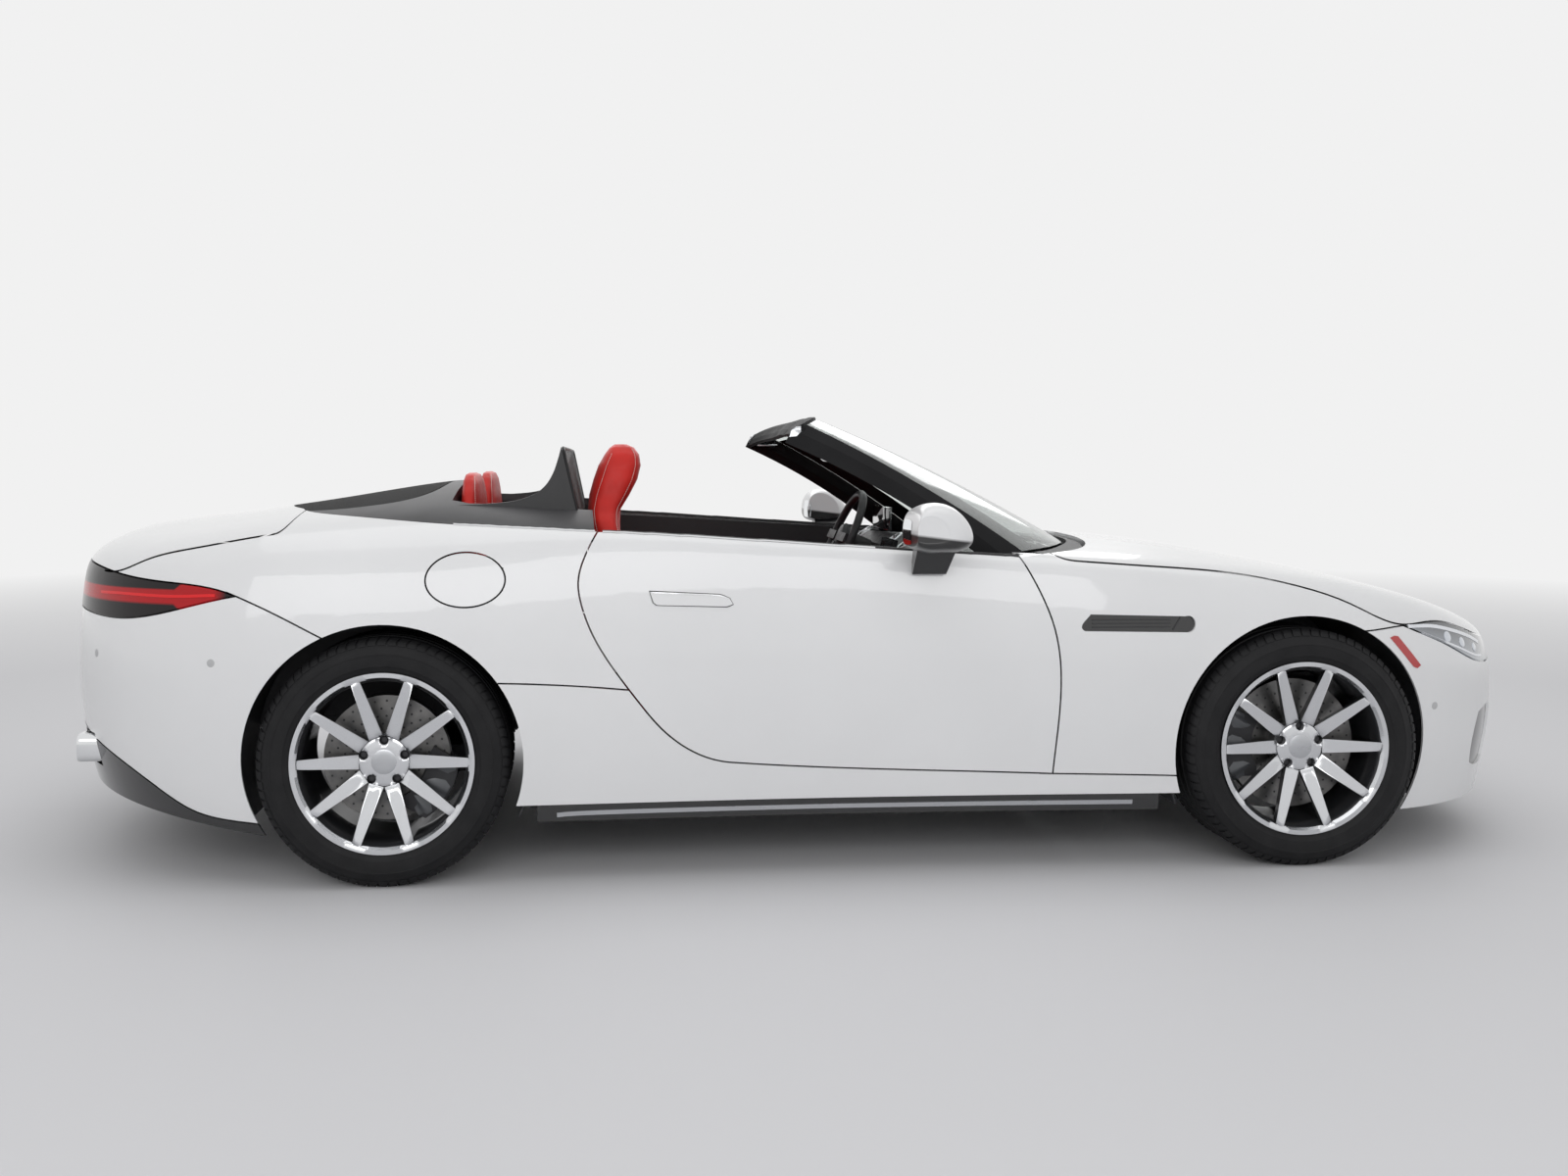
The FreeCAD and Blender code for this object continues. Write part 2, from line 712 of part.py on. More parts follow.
def exhaust_tips():
    """Two rounded pipes side by side, open at the rear."""
    middle = 0.5 * (TIP_OUTER + TIP_INNER)
    end = tail + 60
    half = box(end, end + 150, middle, TIP_INNER, TIP_LOW, TIP_HIGH)
    half = half.makeFillet(24, [edge for edge in half.Edges if edge.BoundBox.XLength > 100])
    bore = box(end - 1, end + 144, middle + 4, TIP_INNER - 4, TIP_LOW + 4, TIP_HIGH - 4)
    bore = bore.makeFillet(20, [edge for edge in bore.Edges if edge.BoundBox.XLength > 100])
    inner = half.cut(bore)
    outer_pipe = inner.mirror(Vector(0, middle, 0), Y_AXIS)
    return inner.fuse(outer_pipe)


# Lamps, each with a housing flange that seats behind the panels round it

HEADLAMP_BACK = [
    [(2.38, 680), (2.5, 636), (2.66, 574), (2.76, 560), (2.84, 575)],
    [(2.84, 575), (2.82, 625)],
    [(2.82, 625), (2.7, 650), (2.55, 680), (2.42, 700)],
    [(2.42, 700), (2.38, 680)],
]
TAIL_LAMP_BACK = [
    [(0.1, 748), (0.28, 742), (0.5, 790), (0.6, 815)],
    [(0.6, 815), (0.58, 838)],
    [(0.58, 838), (0.4, 850), (0.1, 850)],
    [(0.1, 850), (0.1, 748)],
]
LAMP_DEPTH = size("hood_wall")
behind_lamps = inside.cut(half_body(LAMP_DEPTH))


def lamp_pair(name, lens, back):
    flange = behind_lamps.common(side_swept(back, -REACH, -LAMP_END - 30))
    flange = max(flange.Solids, key=lambda solid: solid.Volume)
    pair(name, lens.fuse(flange).removeSplitter())


plain_panels()

# Doors: a thick panel, its lining, and two hinges inside the front edge

HINGE = Vector(place(1.69), -(half_width - 57.5), 0)
HINGE_HEIGHTS = (450, 700)
BRACKET_HALF = 15
PIN = size("pin_radius")
DOOR_INNER = -(half_width - size("door_wall") + 18.5)
LINING_INNER = DOOR_INNER + 58
LINING_OUTLINE = [
    [(1.232, 992), (1.319, 980), (1.426, 964), (1.533, 946), (1.66, 922)],
    [(1.66, 922), (1.688, 800), (1.695, 600), (1.69, 345)],
    [(1.69, 345), (1.4, 385)],
    [(1.4, 385), (1.3, 520), (1.245, 760), (1.232, 992)],
]


def hinge_slot(height):
    """Room in the door for a hinge bracket, which swings from inboard to forward as the door opens."""
    low, high = height - BRACKET_HALF - 5, height + BRACKET_HALF + 5
    corners = [(-18, -17), (7, -17), (76, 12), (120, 33), (120, 140), (-18, 140)]
    points = [Vector(HINGE.x + x, HINGE.y + y, low) for x, y in corners]
    points.append(points[0])
    return Part.Face(Part.makePolygon(points)).extrude(Vector(0, 0, high - low))


def hinge_pin(height, radius, reach):
    low = Vector(HINGE.x, HINGE.y, height - BRACKET_HALF - reach)
    return cylinder(radius, low, low + Vector(0, 0, 2 * (BRACKET_HALF + reach)))


def hinge_bracket(height):
    """Body side of a door hinge: an arm from the pillar to the pin."""
    low, high = height - BRACKET_HALF, height + BRACKET_HALF
    arm = box(HINGE.x - 12, HINGE.x + 12, HINGE.y, -775, low, high)
    return arm.fuse([
        box(HINGE.x - 12, place(1.745), -797, -775, low, high),
        cylinder(12, Vector(HINGE.x, HINGE.y, low), Vector(HINGE.x, HINGE.y, high)),
        hinge_pin(height, PIN, 20),
    ])


def doors():
    block = outer.common(side_swept([DOOR_FRONT, DOOR_BOTTOM, DOOR_REAR, DOOR_TOP], -REACH, -700))
    cutters = [side_line(DOOR_FRONT), side_line(DOOR_BOTTOM), side_line(DOOR_REAR), cockpit(low=0)]
    cutters.append(box(tail, nose, DOOR_INNER, 10, 0, 1300))
    lining_piece = side_swept(LINING_OUTLINE, DOOR_INNER + SEAT, LINING_INNER)
    armrest = box(place(1.36), place(1.6), LINING_INNER - 10, LINING_INNER + 50, 660, 705)
    armrest = armrest.makeFillet(18, [e for e in armrest.Edges if e.BoundBox.YMin > LINING_INNER + 40])
    lining_piece = lining_piece.fuse(armrest)
    slots = [hinge_slot(height) for height in HINGE_HEIGHTS]
    lining_piece = lining_piece.cut(slots)
    cutters += slots + [hinge_pin(height, PIN + SEAT, 22) for height in HINGE_HEIGHTS]
    door = block.cut(cutters)
    door = max(door.Solids, key=lambda solid: solid.Volume)
    for side, turn in (("right", lambda s: s), ("left", mirrored)):
        piece(f"door_{side}", turn(door))
        piece(f"door_lining_{side}", turn(lining_piece))
        piece(f"mirror_{side}", turn(mirror_solid()))


MIRROR_BACK = place(1.5515)
MIRROR_HEIGHT = 1015
MIRROR_OUTLINE = [
    (0, 968), (2, 1034), (20, 1074), (62, 1090), (112, 1080), (152, 1048), (174, 1008), (174, 978),
    (150, 958), (90, 950), (28, 952),
]
MIRROR_ROWS = [
    (-148, 0.5, 0.5), (-136, 0.78, 0.8), (-100, 0.95, 0.96), (-46, 1, 1), (6, 0.96, 0.94), (44, 0.76, 0.78),
]
MIRROR_FOOT = [(28, 72), (128, 72), (136, 132), (36, 132)]
MIRROR_NECK = [(26, -24), (146, -24), (146, 40), (26, 40)]


def mirror_solid():
    """Housing lofted from drop-shaped sections, on a foot that stands on the door's shoulder."""
    middle = -(half_width + 2)
    wires = []
    for shift, long, high in MIRROR_ROWS:
        points = [
            Vector(MIRROR_BACK + x * long, middle + shift, MIRROR_HEIGHT + (z - MIRROR_HEIGHT) * high)
            for x, z in MIRROR_OUTLINE
        ]
        loop = Part.BSplineCurve()
        loop.interpolate(Points=points, PeriodicFlag=True)
        wires.append(Part.Wire(loop.toShape()))
    housing = Part.makeLoft(wires, True, False)
    if housing.Volume < 0:
        housing.reverse()
    levels = []
    for corners, height in ((MIRROR_FOOT, 880), (MIRROR_NECK, 985)):
        points = [Vector(MIRROR_BACK + x, middle + y - 30, height) for x, y in corners]
        levels.append(Part.makePolygon(points + points[:1]))
    made = housing.fuse(Part.makeLoft(levels, True, True)).cut(outer)
    made.translate(Vector(0, -SEAT, SEAT))
    return max(made.Solids, key=lambda solid: solid.Volume)


doors()

# Bonnet and boot lid, each with hinge straps

HOOD_HINGE = Vector(place(1.69), 0, 919)
LID_HINGE = Vector(place(0.8196), 0, 1022)
STRAP_WALL = 12
EAR_Y = -800
EAR_LOW = 832
CORNER_TOP = 12
CORNER_BOTTOM = 30
CORNER_INNER = -772
scuttle = half_body(CORNER_TOP).cut(half_body(CORNER_BOTTOM))


def hood():
    """Bonnet with lowered corner pieces that run back to the hinges beside the screen pillars."""
    x, z = HOOD_HINGE.x, HOOD_HINGE.z
    skin = skin_panel(thick_panels, 2.2, -300, 850)
    corner = scuttle.common(inset_cockpit(9)).common(box(x, place(1.76), -REACH, CORNER_INNER, 600, 1300))
    tongue = scuttle.common(box(place(1.72), place(1.77), EAR_Y, CORNER_INNER, 600, 1300))
    eye = cylinder(12, Vector(x, EAR_Y + SEAT, z), Vector(x, EAR_Y + SEAT + STRAP_WALL, z))
    root = scuttle.common(box(x - 6, x + 30, EAR_Y + SEAT, CORNER_INNER, 600, 1300))
    room = box(x - 20, x + 18, EAR_Y - STRAP_WALL - 5, EAR_Y + SEAT, 600, 1300)
    made = skin.fuse([corner.cut(room), tongue, eye, root]).cut(hood_pin(PIN + SEAT))
    piece("hood", both_sides(max(made.Solids, key=lambda solid: solid.Volume)))


def hood_pin(radius):
    start = Vector(HOOD_HINGE.x, EAR_Y - STRAP_WALL, HOOD_HINGE.z)
    return cylinder(radius, start, start + Vector(0, 2 * STRAP_WALL + 4, 0))


def lid_pin(y, radius, reach):
    start = Vector(LID_HINGE.x, y - reach / 2, LID_HINGE.z)
    return cylinder(radius, start, start + Vector(0, reach, 0))


LID_STRAP_Y = 490
STRAP_INNER = 124
STRAP_OUTER = 146


def lid_strap(y):
    """C-shaped strap that passes under the deck's edge and swings round it as the lid opens."""
    low = Vector(LID_HINGE.x, y - STRAP_WALL / 2, LID_HINGE.z)
    high = low + Vector(0, STRAP_WALL, 0)
    ring = cylinder(STRAP_OUTER, low, high).cut(cylinder(STRAP_INNER, low, high))
    ring = ring.common(box(low.x - 200, low.x + 24, low.y, high.y, low.z - 200, low.z - 4))
    leg = box(low.x, low.x + 24, low.y, high.y, low.z - STRAP_OUTER + 4, low.z)
    eye = cylinder(18, low, high)
    arm = box(low.x - 260, low.x - STRAP_INNER, low.y, high.y, low.z - 34, low.z - 4)
    return ring.fuse([leg, eye, arm]).cut(lid_pin(y, PIN + SEAT, 40))


def trunk_lid():
    half = skin_panel(thick_panels, 0.4, -300, 1020)
    half = half.cut(lining.common(box(place(0.58), rear_axle, -REACH, 10, 700, 1300)))
    half = max(half.Solids, key=lambda solid: solid.Volume)
    straps = [lid_strap(y) for y in (-LID_STRAP_Y, LID_STRAP_Y)]
    piece("trunk_lid", both_sides(half).fuse(straps))


hood()
trunk_lid()


# Wheels: tyres and rims are turned profiles; a rim's spokes are one loft patterned round the hub

class Length:
    """A length with its value and the sheet expression that gives it."""

    def __init__(self, value, text):
        self.value = value
        self.text = text

    def __add__(self, more):
        return Length(self.value + more, f"{self.text} + {more} mm")

    def __sub__(self, less):
        return Length(self.value - less, f"{self.text} - {less} mm")

    def __mul__(self, factor):
        return Length(self.value * factor, f"({self.text}) * {factor}")


def sized(alias):
    return Length(size(alias), f"Sizes.{alias} * 1 mm")


def fixed(value):
    return Length(value, f"{value} mm")


def origin_plane(body, role):
    return next(feature for feature in body.Origin.OriginFeatures if feature.Role == role)


def new_sketch(body, name, role="XY_Plane", offset=0):
    sketch = body.newObject("Sketcher::SketchObject", name)
    sketch.AttachmentSupport = [(origin_plane(body, role), "")]
    sketch.MapMode = "FlatFace"
    sketch.AttachmentOffset = FreeCAD.Placement(Vector(0, 0, offset), FreeCAD.Rotation())
    return sketch


def outline_in(sketch, corners):
    """Closed straight-sided outline whose corners are tied to the sheet."""
    points = [Vector(across.value, up.value, 0) for across, up in corners]
    first = sketch.GeometryCount
    for k, point in enumerate(points):
        sketch.addGeometry(Part.LineSegment(point, points[(k + 1) % len(points)]))
    for k, corner in enumerate(corners):
        before = first + (k - 1) % len(corners)
        sketch.addConstraint(Sketcher.Constraint("Coincident", before, 2, first + k, 1))
        for kind, length in zip(("DistanceX", "DistanceY"), corner):
            if abs(length.value) < 1e-6:
                axis = -2 if kind == "DistanceX" else -1
                sketch.addConstraint(Sketcher.Constraint("PointOnObject", first + k, 1, axis))
                continue
            index = sketch.addConstraint(Sketcher.Constraint(kind, -1, 1, first + k, 1, length.value))
            sketch.setExpression(f"Constraints[{index}]", length.text)


def turned(body, name, corners):
    """Revolution of a profile about the wheel's axis, the body's Y axis."""
    sketch = new_sketch(body, f"{name}_profile")
    outline_in(sketch, corners)
    revolution = body.newObject("PartDesign::Revolution", name)
    revolution.Profile = sketch
    revolution.ReferenceAxis = (sketch, ["V_Axis"])
    revolution.Angle = 360
    return revolution


def patterned(body, feature, count):
    pattern = body.newObject("PartDesign::PolarPattern", f"{feature.Name}_ring")
    pattern.Originals = [feature]
    pattern.Axis = (origin_plane(body, "Y_Axis"), [""])
    pattern.Angle = 360
    pattern.Occurrences = count
    body.Tip = pattern
    return pattern


def new_body(name):
    body = doc.addObject("PartDesign::Body", name)
    body.Label = name
    body.AllowCompound = True
    return body


def at_wheel(body, axle, side):
    """Set a wheel piece on its axle: the outer face, at +Y in the body, turns outward on both sides."""
    track = sized(f"{axle}_track") * (0.5 * side)
    text = "Sizes.overall_length * 0.5 mm - Sizes.front_overhang * 1 mm"
    if axle == "rear":
        text += " - Sizes.wheelbase * 1 mm"
    x = front_axle if axle == "front" else rear_axle
    turn = FreeCAD.Rotation(Z_AXIS, 0 if side > 0 else 180)
    body.Placement = FreeCAD.Placement(Vector(x, track.value, wheel_height), turn)
    body.setExpression("Placement.Base.x", text)
    body.setExpression("Placement.Base.y", track.text)
    body.setExpression("Placement.Base.z", "Sizes.tyre_radius * 1 mm")


def tyre(name, axle, side):
    body = new_body(name)
    radius, bead = sized("tyre_radius"), sized("bead_radius") + size("seat_gap")
    half = sized(f"{axle}_tyre_width") * 0.5
    other = sized(f"{axle}_tyre_width") * -0.5
    right = [(bead, half - 18), (radius - 42, half), (radius, half - 34)]
    left = [(radius, other + 34), (radius - 42, other), (bead, other + 18)]
    turned(body, f"{name}_carcass", right + left)
    at_wheel(body, axle, side)
    return body


SPOKES = 10
BOLTS = 5


def rim(name, axle, side):
    body = new_body(name)
    bead, flange = sized("bead_radius"), sized("rim_radius")
    half = sized(f"{axle}_tyre_width") * 0.5
    other = sized(f"{axle}_tyre_width") * -0.5
    barrel = [
        (flange, half - 5), (flange, half - 13), (bead, half - 14), (bead, other + 14), (flange, other + 13),
        (flange, other + 5), (flange - 9, other + 5), (bead - 9, other + 15), (bead - 9, half - 24),
        (flange - 13, half - 5),
    ]
    turned(body, f"{name}_barrel", barrel)
    hub = sized("hub_radius")
    face = half - 36
    turned(body, f"{name}_hub", [
        (fixed(0), face), (hub - 38, face), (hub - 8, face - 4), (hub, face - 12), (hub, face - 46),
        (fixed(0), face - 46),
    ])
    spoke_root = new_sketch(body, f"{name}_spoke_root", "YZ_Plane", size("hub_radius") - 8)
    outline_in(spoke_root, [
        (face - 3, fixed(-21)), (face - 3, fixed(21)), (face - 40, fixed(13)), (face - 40, fixed(-13)),
    ])
    spoke_tip = new_sketch(body, f"{name}_spoke_tip", "YZ_Plane", size("bead_radius") - 1)
    outline_in(spoke_tip, [
        (half - 10, fixed(-13)), (half - 10, fixed(13)), (half - 36, fixed(8)), (half - 36, fixed(-8)),
    ])
    spoke = body.newObject("PartDesign::AdditiveLoft", f"{name}_spoke")
    spoke.Profile = spoke_root
    spoke.Sections = [spoke_tip]
    spoke.Ruled = True
    patterned(body, spoke, SPOKES)
    bolt = new_sketch(body, f"{name}_bolt_hole", "XZ_Plane", -(face.value + 1))
    bolt.addGeometry(Part.Circle(Vector(0, 61, 0), Z_AXIS, 13))
    pocket = body.newObject("PartDesign::Pocket", f"{name}_bolt")
    pocket.Profile = bolt
    pocket.Length = 30
    pocket.Reversed = True
    patterned(body, pocket, BOLTS)
    at_wheel(body, axle, side)
    return body


def disc(name, axle, side):
    """Brake disc with its hat, from two cylinders and a bore."""
    body_side = f"{name}_plate", f"{name}_hat", f"{name}_bore"
    plate, hat, bore = (doc.addObject("Part::Cylinder", label) for label in body_side)
    plate.setExpression("Radius", f"Sizes.disc_{axle} * 1 mm")
    plate.setExpression("Height", "Sizes.disc_wall * 1 mm")
    hat.setExpression("Radius", "Sizes.hub_radius * 1 mm")
    hat.Height = 47
    bore.setExpression("Radius", "Sizes.spindle_radius * 1 mm + Sizes.seat_gap * 1 mm")
    bore.Height = 200
    bore.Placement.Base = Vector(0, 0, -100)
    fuse = doc.addObject("Part::Fuse", f"{name}_turned")
    fuse.Base = plate
    fuse.Tool = hat
    made = doc.addObject("Part::Cut", name)
    made.Base = fuse
    made.Tool = bore
    made.Label = name
    half = sized(f"{axle}_tyre_width") * 0.5
    inner = sized(f"{axle}_track") * 0.5 + (half.value - 36 - 46 - 47)
    upright = FreeCAD.Rotation(X_AXIS, -90 if side > 0 else 90)
    x = front_axle if axle == "front" else rear_axle
    made.Placement = FreeCAD.Placement(Vector(x, side * inner.value, wheel_height), upright)
    return made


def wheels():
    for axle in ("front", "rear"):
        for side, word in ((-1, "right"), (1, "left")):
            corner = f"{axle}_{word}"
            pieces[f"tyre_{corner}"] = tyre(f"tyre_{corner}", axle, side)
            pieces[f"rim_{corner}"] = rim(f"rim_{corner}", axle, side)
            pieces[f"disc_{corner}"] = disc(f"disc_{corner}", axle, side)


wheels()

# Body structure: floor, sills, bulkheads, wheelhouses, beams and brackets welded into one piece

LINER = size("liner_radius")
LINER_OUT = LINER + size("liner_wall")
FRONT_INNER = -490
REAR_INNER = -640
FIREWALL = place(1.751)
TUNNEL_HALF = 134
SEAT_WALL = rear_axle + 88
BOOT_END = tail + 202.5
LOCK_PILLAR = along(0.166)
RADIATOR = front_axle + 640
NOSE_BEAM = nose - 215
TAIL_BEAM = tail + 140
SCREEN_POST = (552, 598, -758, -732, 770, 905)
deck_under = half_body(size("lid_wall") + SEAT)


def wheelhouse(axle, inner, window):
    ring = arch_cut(axle, LINER_OUT, inner).cut(arch_cut(axle, LINER, inner + 1))
    ring = ring.common(inside).cut(box(axle - 500, axle + 500, -REACH, 0, -200, 190))
    side = cylinder(LINER_OUT, Vector(axle, inner, wheel_height), Vector(axle, inner - 5, wheel_height))
    return ring.fuse(side.cut(box(axle - 500, axle + 500, -REACH, 0, -200, window)))


def structure():
    floor = size("floor_height")
    front_end, rear_end = front_axle - LINER + 3, rear_axle + LINER - 3
    right = box(rear_end, FIREWALL + 20, -800, -TUNNEL_HALF, floor - 5, floor + 17)
    lock_pillar = box(SEAT_WALL, LOCK_PILLAR + 60, -800, -785, 224, 930)
    parts = [
        box(rear_end, FIREWALL + 20, -TUNNEL_HALF - 6, -TUNNEL_HALF, floor, 440),
        box(rear_end, FIREWALL + 20, -TUNNEL_HALF - 6, 0, 430, 440),
        box(FIREWALL, FIREWALL + 20, -TUNNEL_HALF, 0, 430, 840),
        inside.common(box(rear_end, front_end, -REACH, -780, 224, 278)),
        box(rear_end, front_end, -850, -780, floor - 5, 278),
        box(FIREWALL, FIREWALL + 20, -800, -TUNNEL_HALF, floor, 840),
        box(FIREWALL - 40, FIREWALL + 20, DOOR_INNER, -775, 224, 840),
        box(FIREWALL, front_end, -800, -780, floor, 700),
        wheelhouse(front_axle, FRONT_INNER, 548),
        wheelhouse(rear_axle, REAR_INNER, 425),
        box(FIREWALL, NOSE_BEAM + 20, -495, -415, 420, 500),
        box(NOSE_BEAM, NOSE_BEAM + 65, -560, 0, 400, 500),
        box(NOSE_BEAM, NOSE_BEAM + 20, -420, -360, 160, 420),
        inside.common(box(NOSE_BEAM, nose, -420, -360, 160, 196)),
        deck_under.common(box(RADIATOR, RADIATOR + 20, -560, 0, 420, 670)),
        box(rear_end - 20, rear_end, -648, 0, floor, 440),
        box(BOOT_END, rear_end, -648, 0, 420, 440),
        box(SEAT_WALL, SEAT_WALL + 20, -648, 0, 430, 1250).common(deck_under),
        box(BOOT_END, BOOT_END + 20, -600, 0, 430, 720),
        box(TAIL_BEAM, BOOT_END + 20, -560, -480, 520, 620),
        box(TAIL_BEAM, TAIL_BEAM + 50, -560, 0, 520, 620),
        inside.common(box(tail, TAIL_BEAM + 20, -430, -410, 330, 560)),
        box(TAIL_BEAM + 10, TAIL_BEAM + 26, -568, -552, TIP_HIGH + SEAT, 530),
        inside.common(box(LOCK_PILLAR, LOCK_PILLAR + 60, -REACH, -785, 224, 940)),
        lock_pillar.cut(arch_cut(rear_axle, LINER + 2, REAR_INNER)),
        deck_under.common(box(rear_axle - 12, rear_axle + 18, -700, -642, 760, 1250)),
        deck_under.common(box(rear_axle - 132, rear_axle - 112, -560, -500, 430, 1250)),
        box(LID_HINGE.x - 12, LID_HINGE.x + 12, -LID_STRAP_Y - 26, -LID_STRAP_Y - 14, 430, LID_HINGE.z + 12),
        box(HOOD_HINGE.x - 12, FIREWALL - 34, EAR_Y - STRAP_WALL, EAR_Y, EAR_LOW, 850),
        box(HOOD_HINGE.x - 12, HOOD_HINGE.x + 12, EAR_Y - STRAP_WALL, EAR_Y, EAR_LOW, HOOD_HINGE.z),
        cylinder(12, HOOD_HINGE + Vector(0, EAR_Y - STRAP_WALL, 0), HOOD_HINGE + Vector(0, EAR_Y, 0)),
        box(FIREWALL, FIREWALL + 20, -722, -610, 830, 1000).common(half_body(CORNER_BOTTOM + SEAT)),
    ]
    foot = SCREEN_POST[4] - SEAT
    parts.append(box(SCREEN_POST[0], FIREWALL + 20, -775, SCREEN_POST[3] + 2, foot - 20, foot))
    parts += [hinge_bracket(height) for height in HINGE_HEIGHTS]
    right = right.fuse(parts)
    right = right.fuse([lid_pin(-LID_STRAP_Y, PIN, 44), hood_pin(PIN)])
    return right.fuse(mirrored(right)).removeSplitter().fuse(flap_bracket())


piece("body_structure", structure())

# Windscreen: a curved pane between two pillars and a header

GLASS_BASE = [(0, 915, 940), (280, 885, 940), (560, 765, 938), (740, 610, 934)]
GLASS_TOP = [(0, 60, 1352), (230, 52, 1350), (440, 22, 1342), (585, -30, 1322)]
GLASS_NORMAL = Vector(0.454, 0, 0.891)


def screen_rows(low, high):
    """Points across the screen at two shares of its height, with a slight bulge between base and top."""
    rows = []
    for share in (low, (low + high) / 2, high):
        bulge = 18 * 4 * share * (1 - share)
        row = []
        for (yb, xb, zb), (yt, xt, zt) in zip(GLASS_BASE, GLASS_TOP):
            point = Vector(xb + (xt - xb) * share, -(yb + (yt - yb) * share), zb + (zt - zb) * share)
            row.append(point + GLASS_NORMAL * bulge)
        left = [Vector(p.x, -p.y, p.z) for p in reversed(row[1:])]
        rows.append(left + row)
    return rows


def glass():
    made = Part.BSplineSurface()
    made.interpolate(screen_rows(0.0, 1.0))
    return made.toShape().extrude(GLASS_NORMAL * -size("glass_wall"))


piece("windscreen_glass", glass())


def pillar_section(share, wide, deep):
    """Section of a pillar at a share of its height, set outside the glass edge."""
    (yb, xb, zb), (yt, xt, zt) = GLASS_BASE[-1], GLASS_TOP[-1]
    bulge = 18 * 4 * share * (1 - share)
    edge = Vector(xb + (xt - xb) * share, -(yb + (yt - yb) * share), zb + (zt - zb) * share)
    edge += GLASS_NORMAL * bulge
    back = GLASS_NORMAL * -deep
    out = Vector(-wide, -14, -wide * 0.3)
    start = edge + Vector(-SEAT, -SEAT, 0)
    return Part.makePolygon([start, start + out, start + out + back, start + back, start])


def windscreen_frame():
    heights = ((-0.06, 60), (0.35, 44), (0.7, 42), (1.0, 50))
    return Part.makeLoft([pillar_section(share, wide, 46) for share, wide in heights], True, False)


HEADER_SECTION = [(-2, -6), (-6, 8), (-30, -4), (-50, -30), (-58, -50), (-46, -57), (-16, -40), (-8, -30)]


def header():
    """Slim header rail along the top edge of the glass, deeper in the middle."""
    sections = []
    ends = [(y, x, z, depth) for (y, x, z), depth in zip(GLASS_TOP, (1.4, 1.35, 1.15, 1.0))]
    y, x, z, _ = ends[-1]
    ends.append((y + 14, x - 8, z - 4, 0.96))
    for y, x, z, depth in ends:
        points = [Vector(x + across * depth, -y, z + up) for across, up in HEADER_SECTION]
        sections.append(Part.makePolygon(points + points[:1]))
    return Part.makeLoft(sections, True, False)


def frame_solid():
    half = header().fuse([windscreen_frame(), box(*SCREEN_POST)])
    both = half.fuse(mirrored(half))
    pane = Part.BSplineSurface()
    pane.interpolate(screen_rows(0.0, 1.0))
    slot = pane.toShape().extrude(GLASS_NORMAL * -(size("glass_wall") + SEAT))
    return both.cut(slot)


piece("windscreen_frame", frame_solid())


# Deck behind the cabin, soft-top cover and cowl

COVER = [
    [(0.617, 0), (0.634, -240), (0.676, -420), (0.73, -545)],
    [(0.73, -545), (0.81, -590), (0.94, -588)],
    [(0.94, -588), (1.0, -560), (1.035, -350), (1.045, 0)],
    [(1.045, 0), (0.617, 0)],
]
DECK_HOLE = sides((1.06, 0), (1.06, -600), (1.08, -640), (1.4, -640), (1.4, 0))


deck_skin = outer.cut(half_body(size("lid_wall"))).common(inset_cockpit(3))


def cover_region(grow):
    ends = ((COVER[0][0][0], -grow / 1000), (COVER[2][-1][0], grow / 2000))
    strokes = []
    for stroke in COVER:
        moved = [(s + (ends[0][1] if s < 0.8 else ends[1][1]), y - grow if y else 0) for s, y in stroke]
        strokes.append(moved)
    return plan_swept(strokes, 700, 1300)


def deck():
    cover = deck_skin.common(cover_region(0))
    piece("soft_top_cover", both_sides(max(cover.Solids, key=lambda solid: solid.Volume)))
    trim = deck_skin.common(plan_swept([list(stroke) for stroke in DECK_TRIM], 700, 1300))
    trim = trim.cut([cover_region(4), plan_swept(DECK_HOLE, 600, 1300)])
    trim = max(trim.Solids, key=lambda solid: solid.Volume)
    piece("deck_trim", both_sides(trim))


DECK_TRIM = [
    [(0.55, 10), (1.21, 10)],
    [(1.21, 10), (1.222, -950)],
    [(1.222, -950), (0.55, -950)],
    [(0.55, -950), (0.55, 10)],
]
SCREEN_FOOT = [(1.66, -780), (1.7, -762), (1.764, -570), (1.812, -288), (1.823, 0)]


def cowl():
    """Scuttle panel between the bonnet's rear edge and the screen, clear of the pillar's foot."""
    ahead = sides((1.823, 0), (1.9, 0), (1.9, -900), (1.66, -900), (1.66, -780))[:-1]
    ahead = plan_swept([SCREEN_FOOT] + ahead, 600, 1300)
    made = scuttle.common(inset_cockpit(9)).common(ahead)
    made = made.cut([
        box(place(1.5), place(2), -REACH, CORNER_INNER + 5, 600, 1300),
        box(place(1.5), place(1.72), -REACH, -735, 600, 1300),
    ])
    piece("cowl", both_sides(max(made.Solids, key=lambda solid: solid.Volume)))


deck()
cowl()

# Running gear

STEER_Y = size("steering_axis")
BALL = 10


def ring_arm(start, end, radius, bore):
    """Round arm that ends in an eye round a vertical ball pin."""
    eye = cylinder(26, end + Vector(0, 0, -14), end + Vector(0, 0, 14))
    hole = cylinder(bore, end + Vector(0, 0, -30), end + Vector(0, 0, 30))
    return cylinder(radius, start, end).fuse(eye).cut(hole)


LOWER_BALL = 205
UPPER_BALL = 520


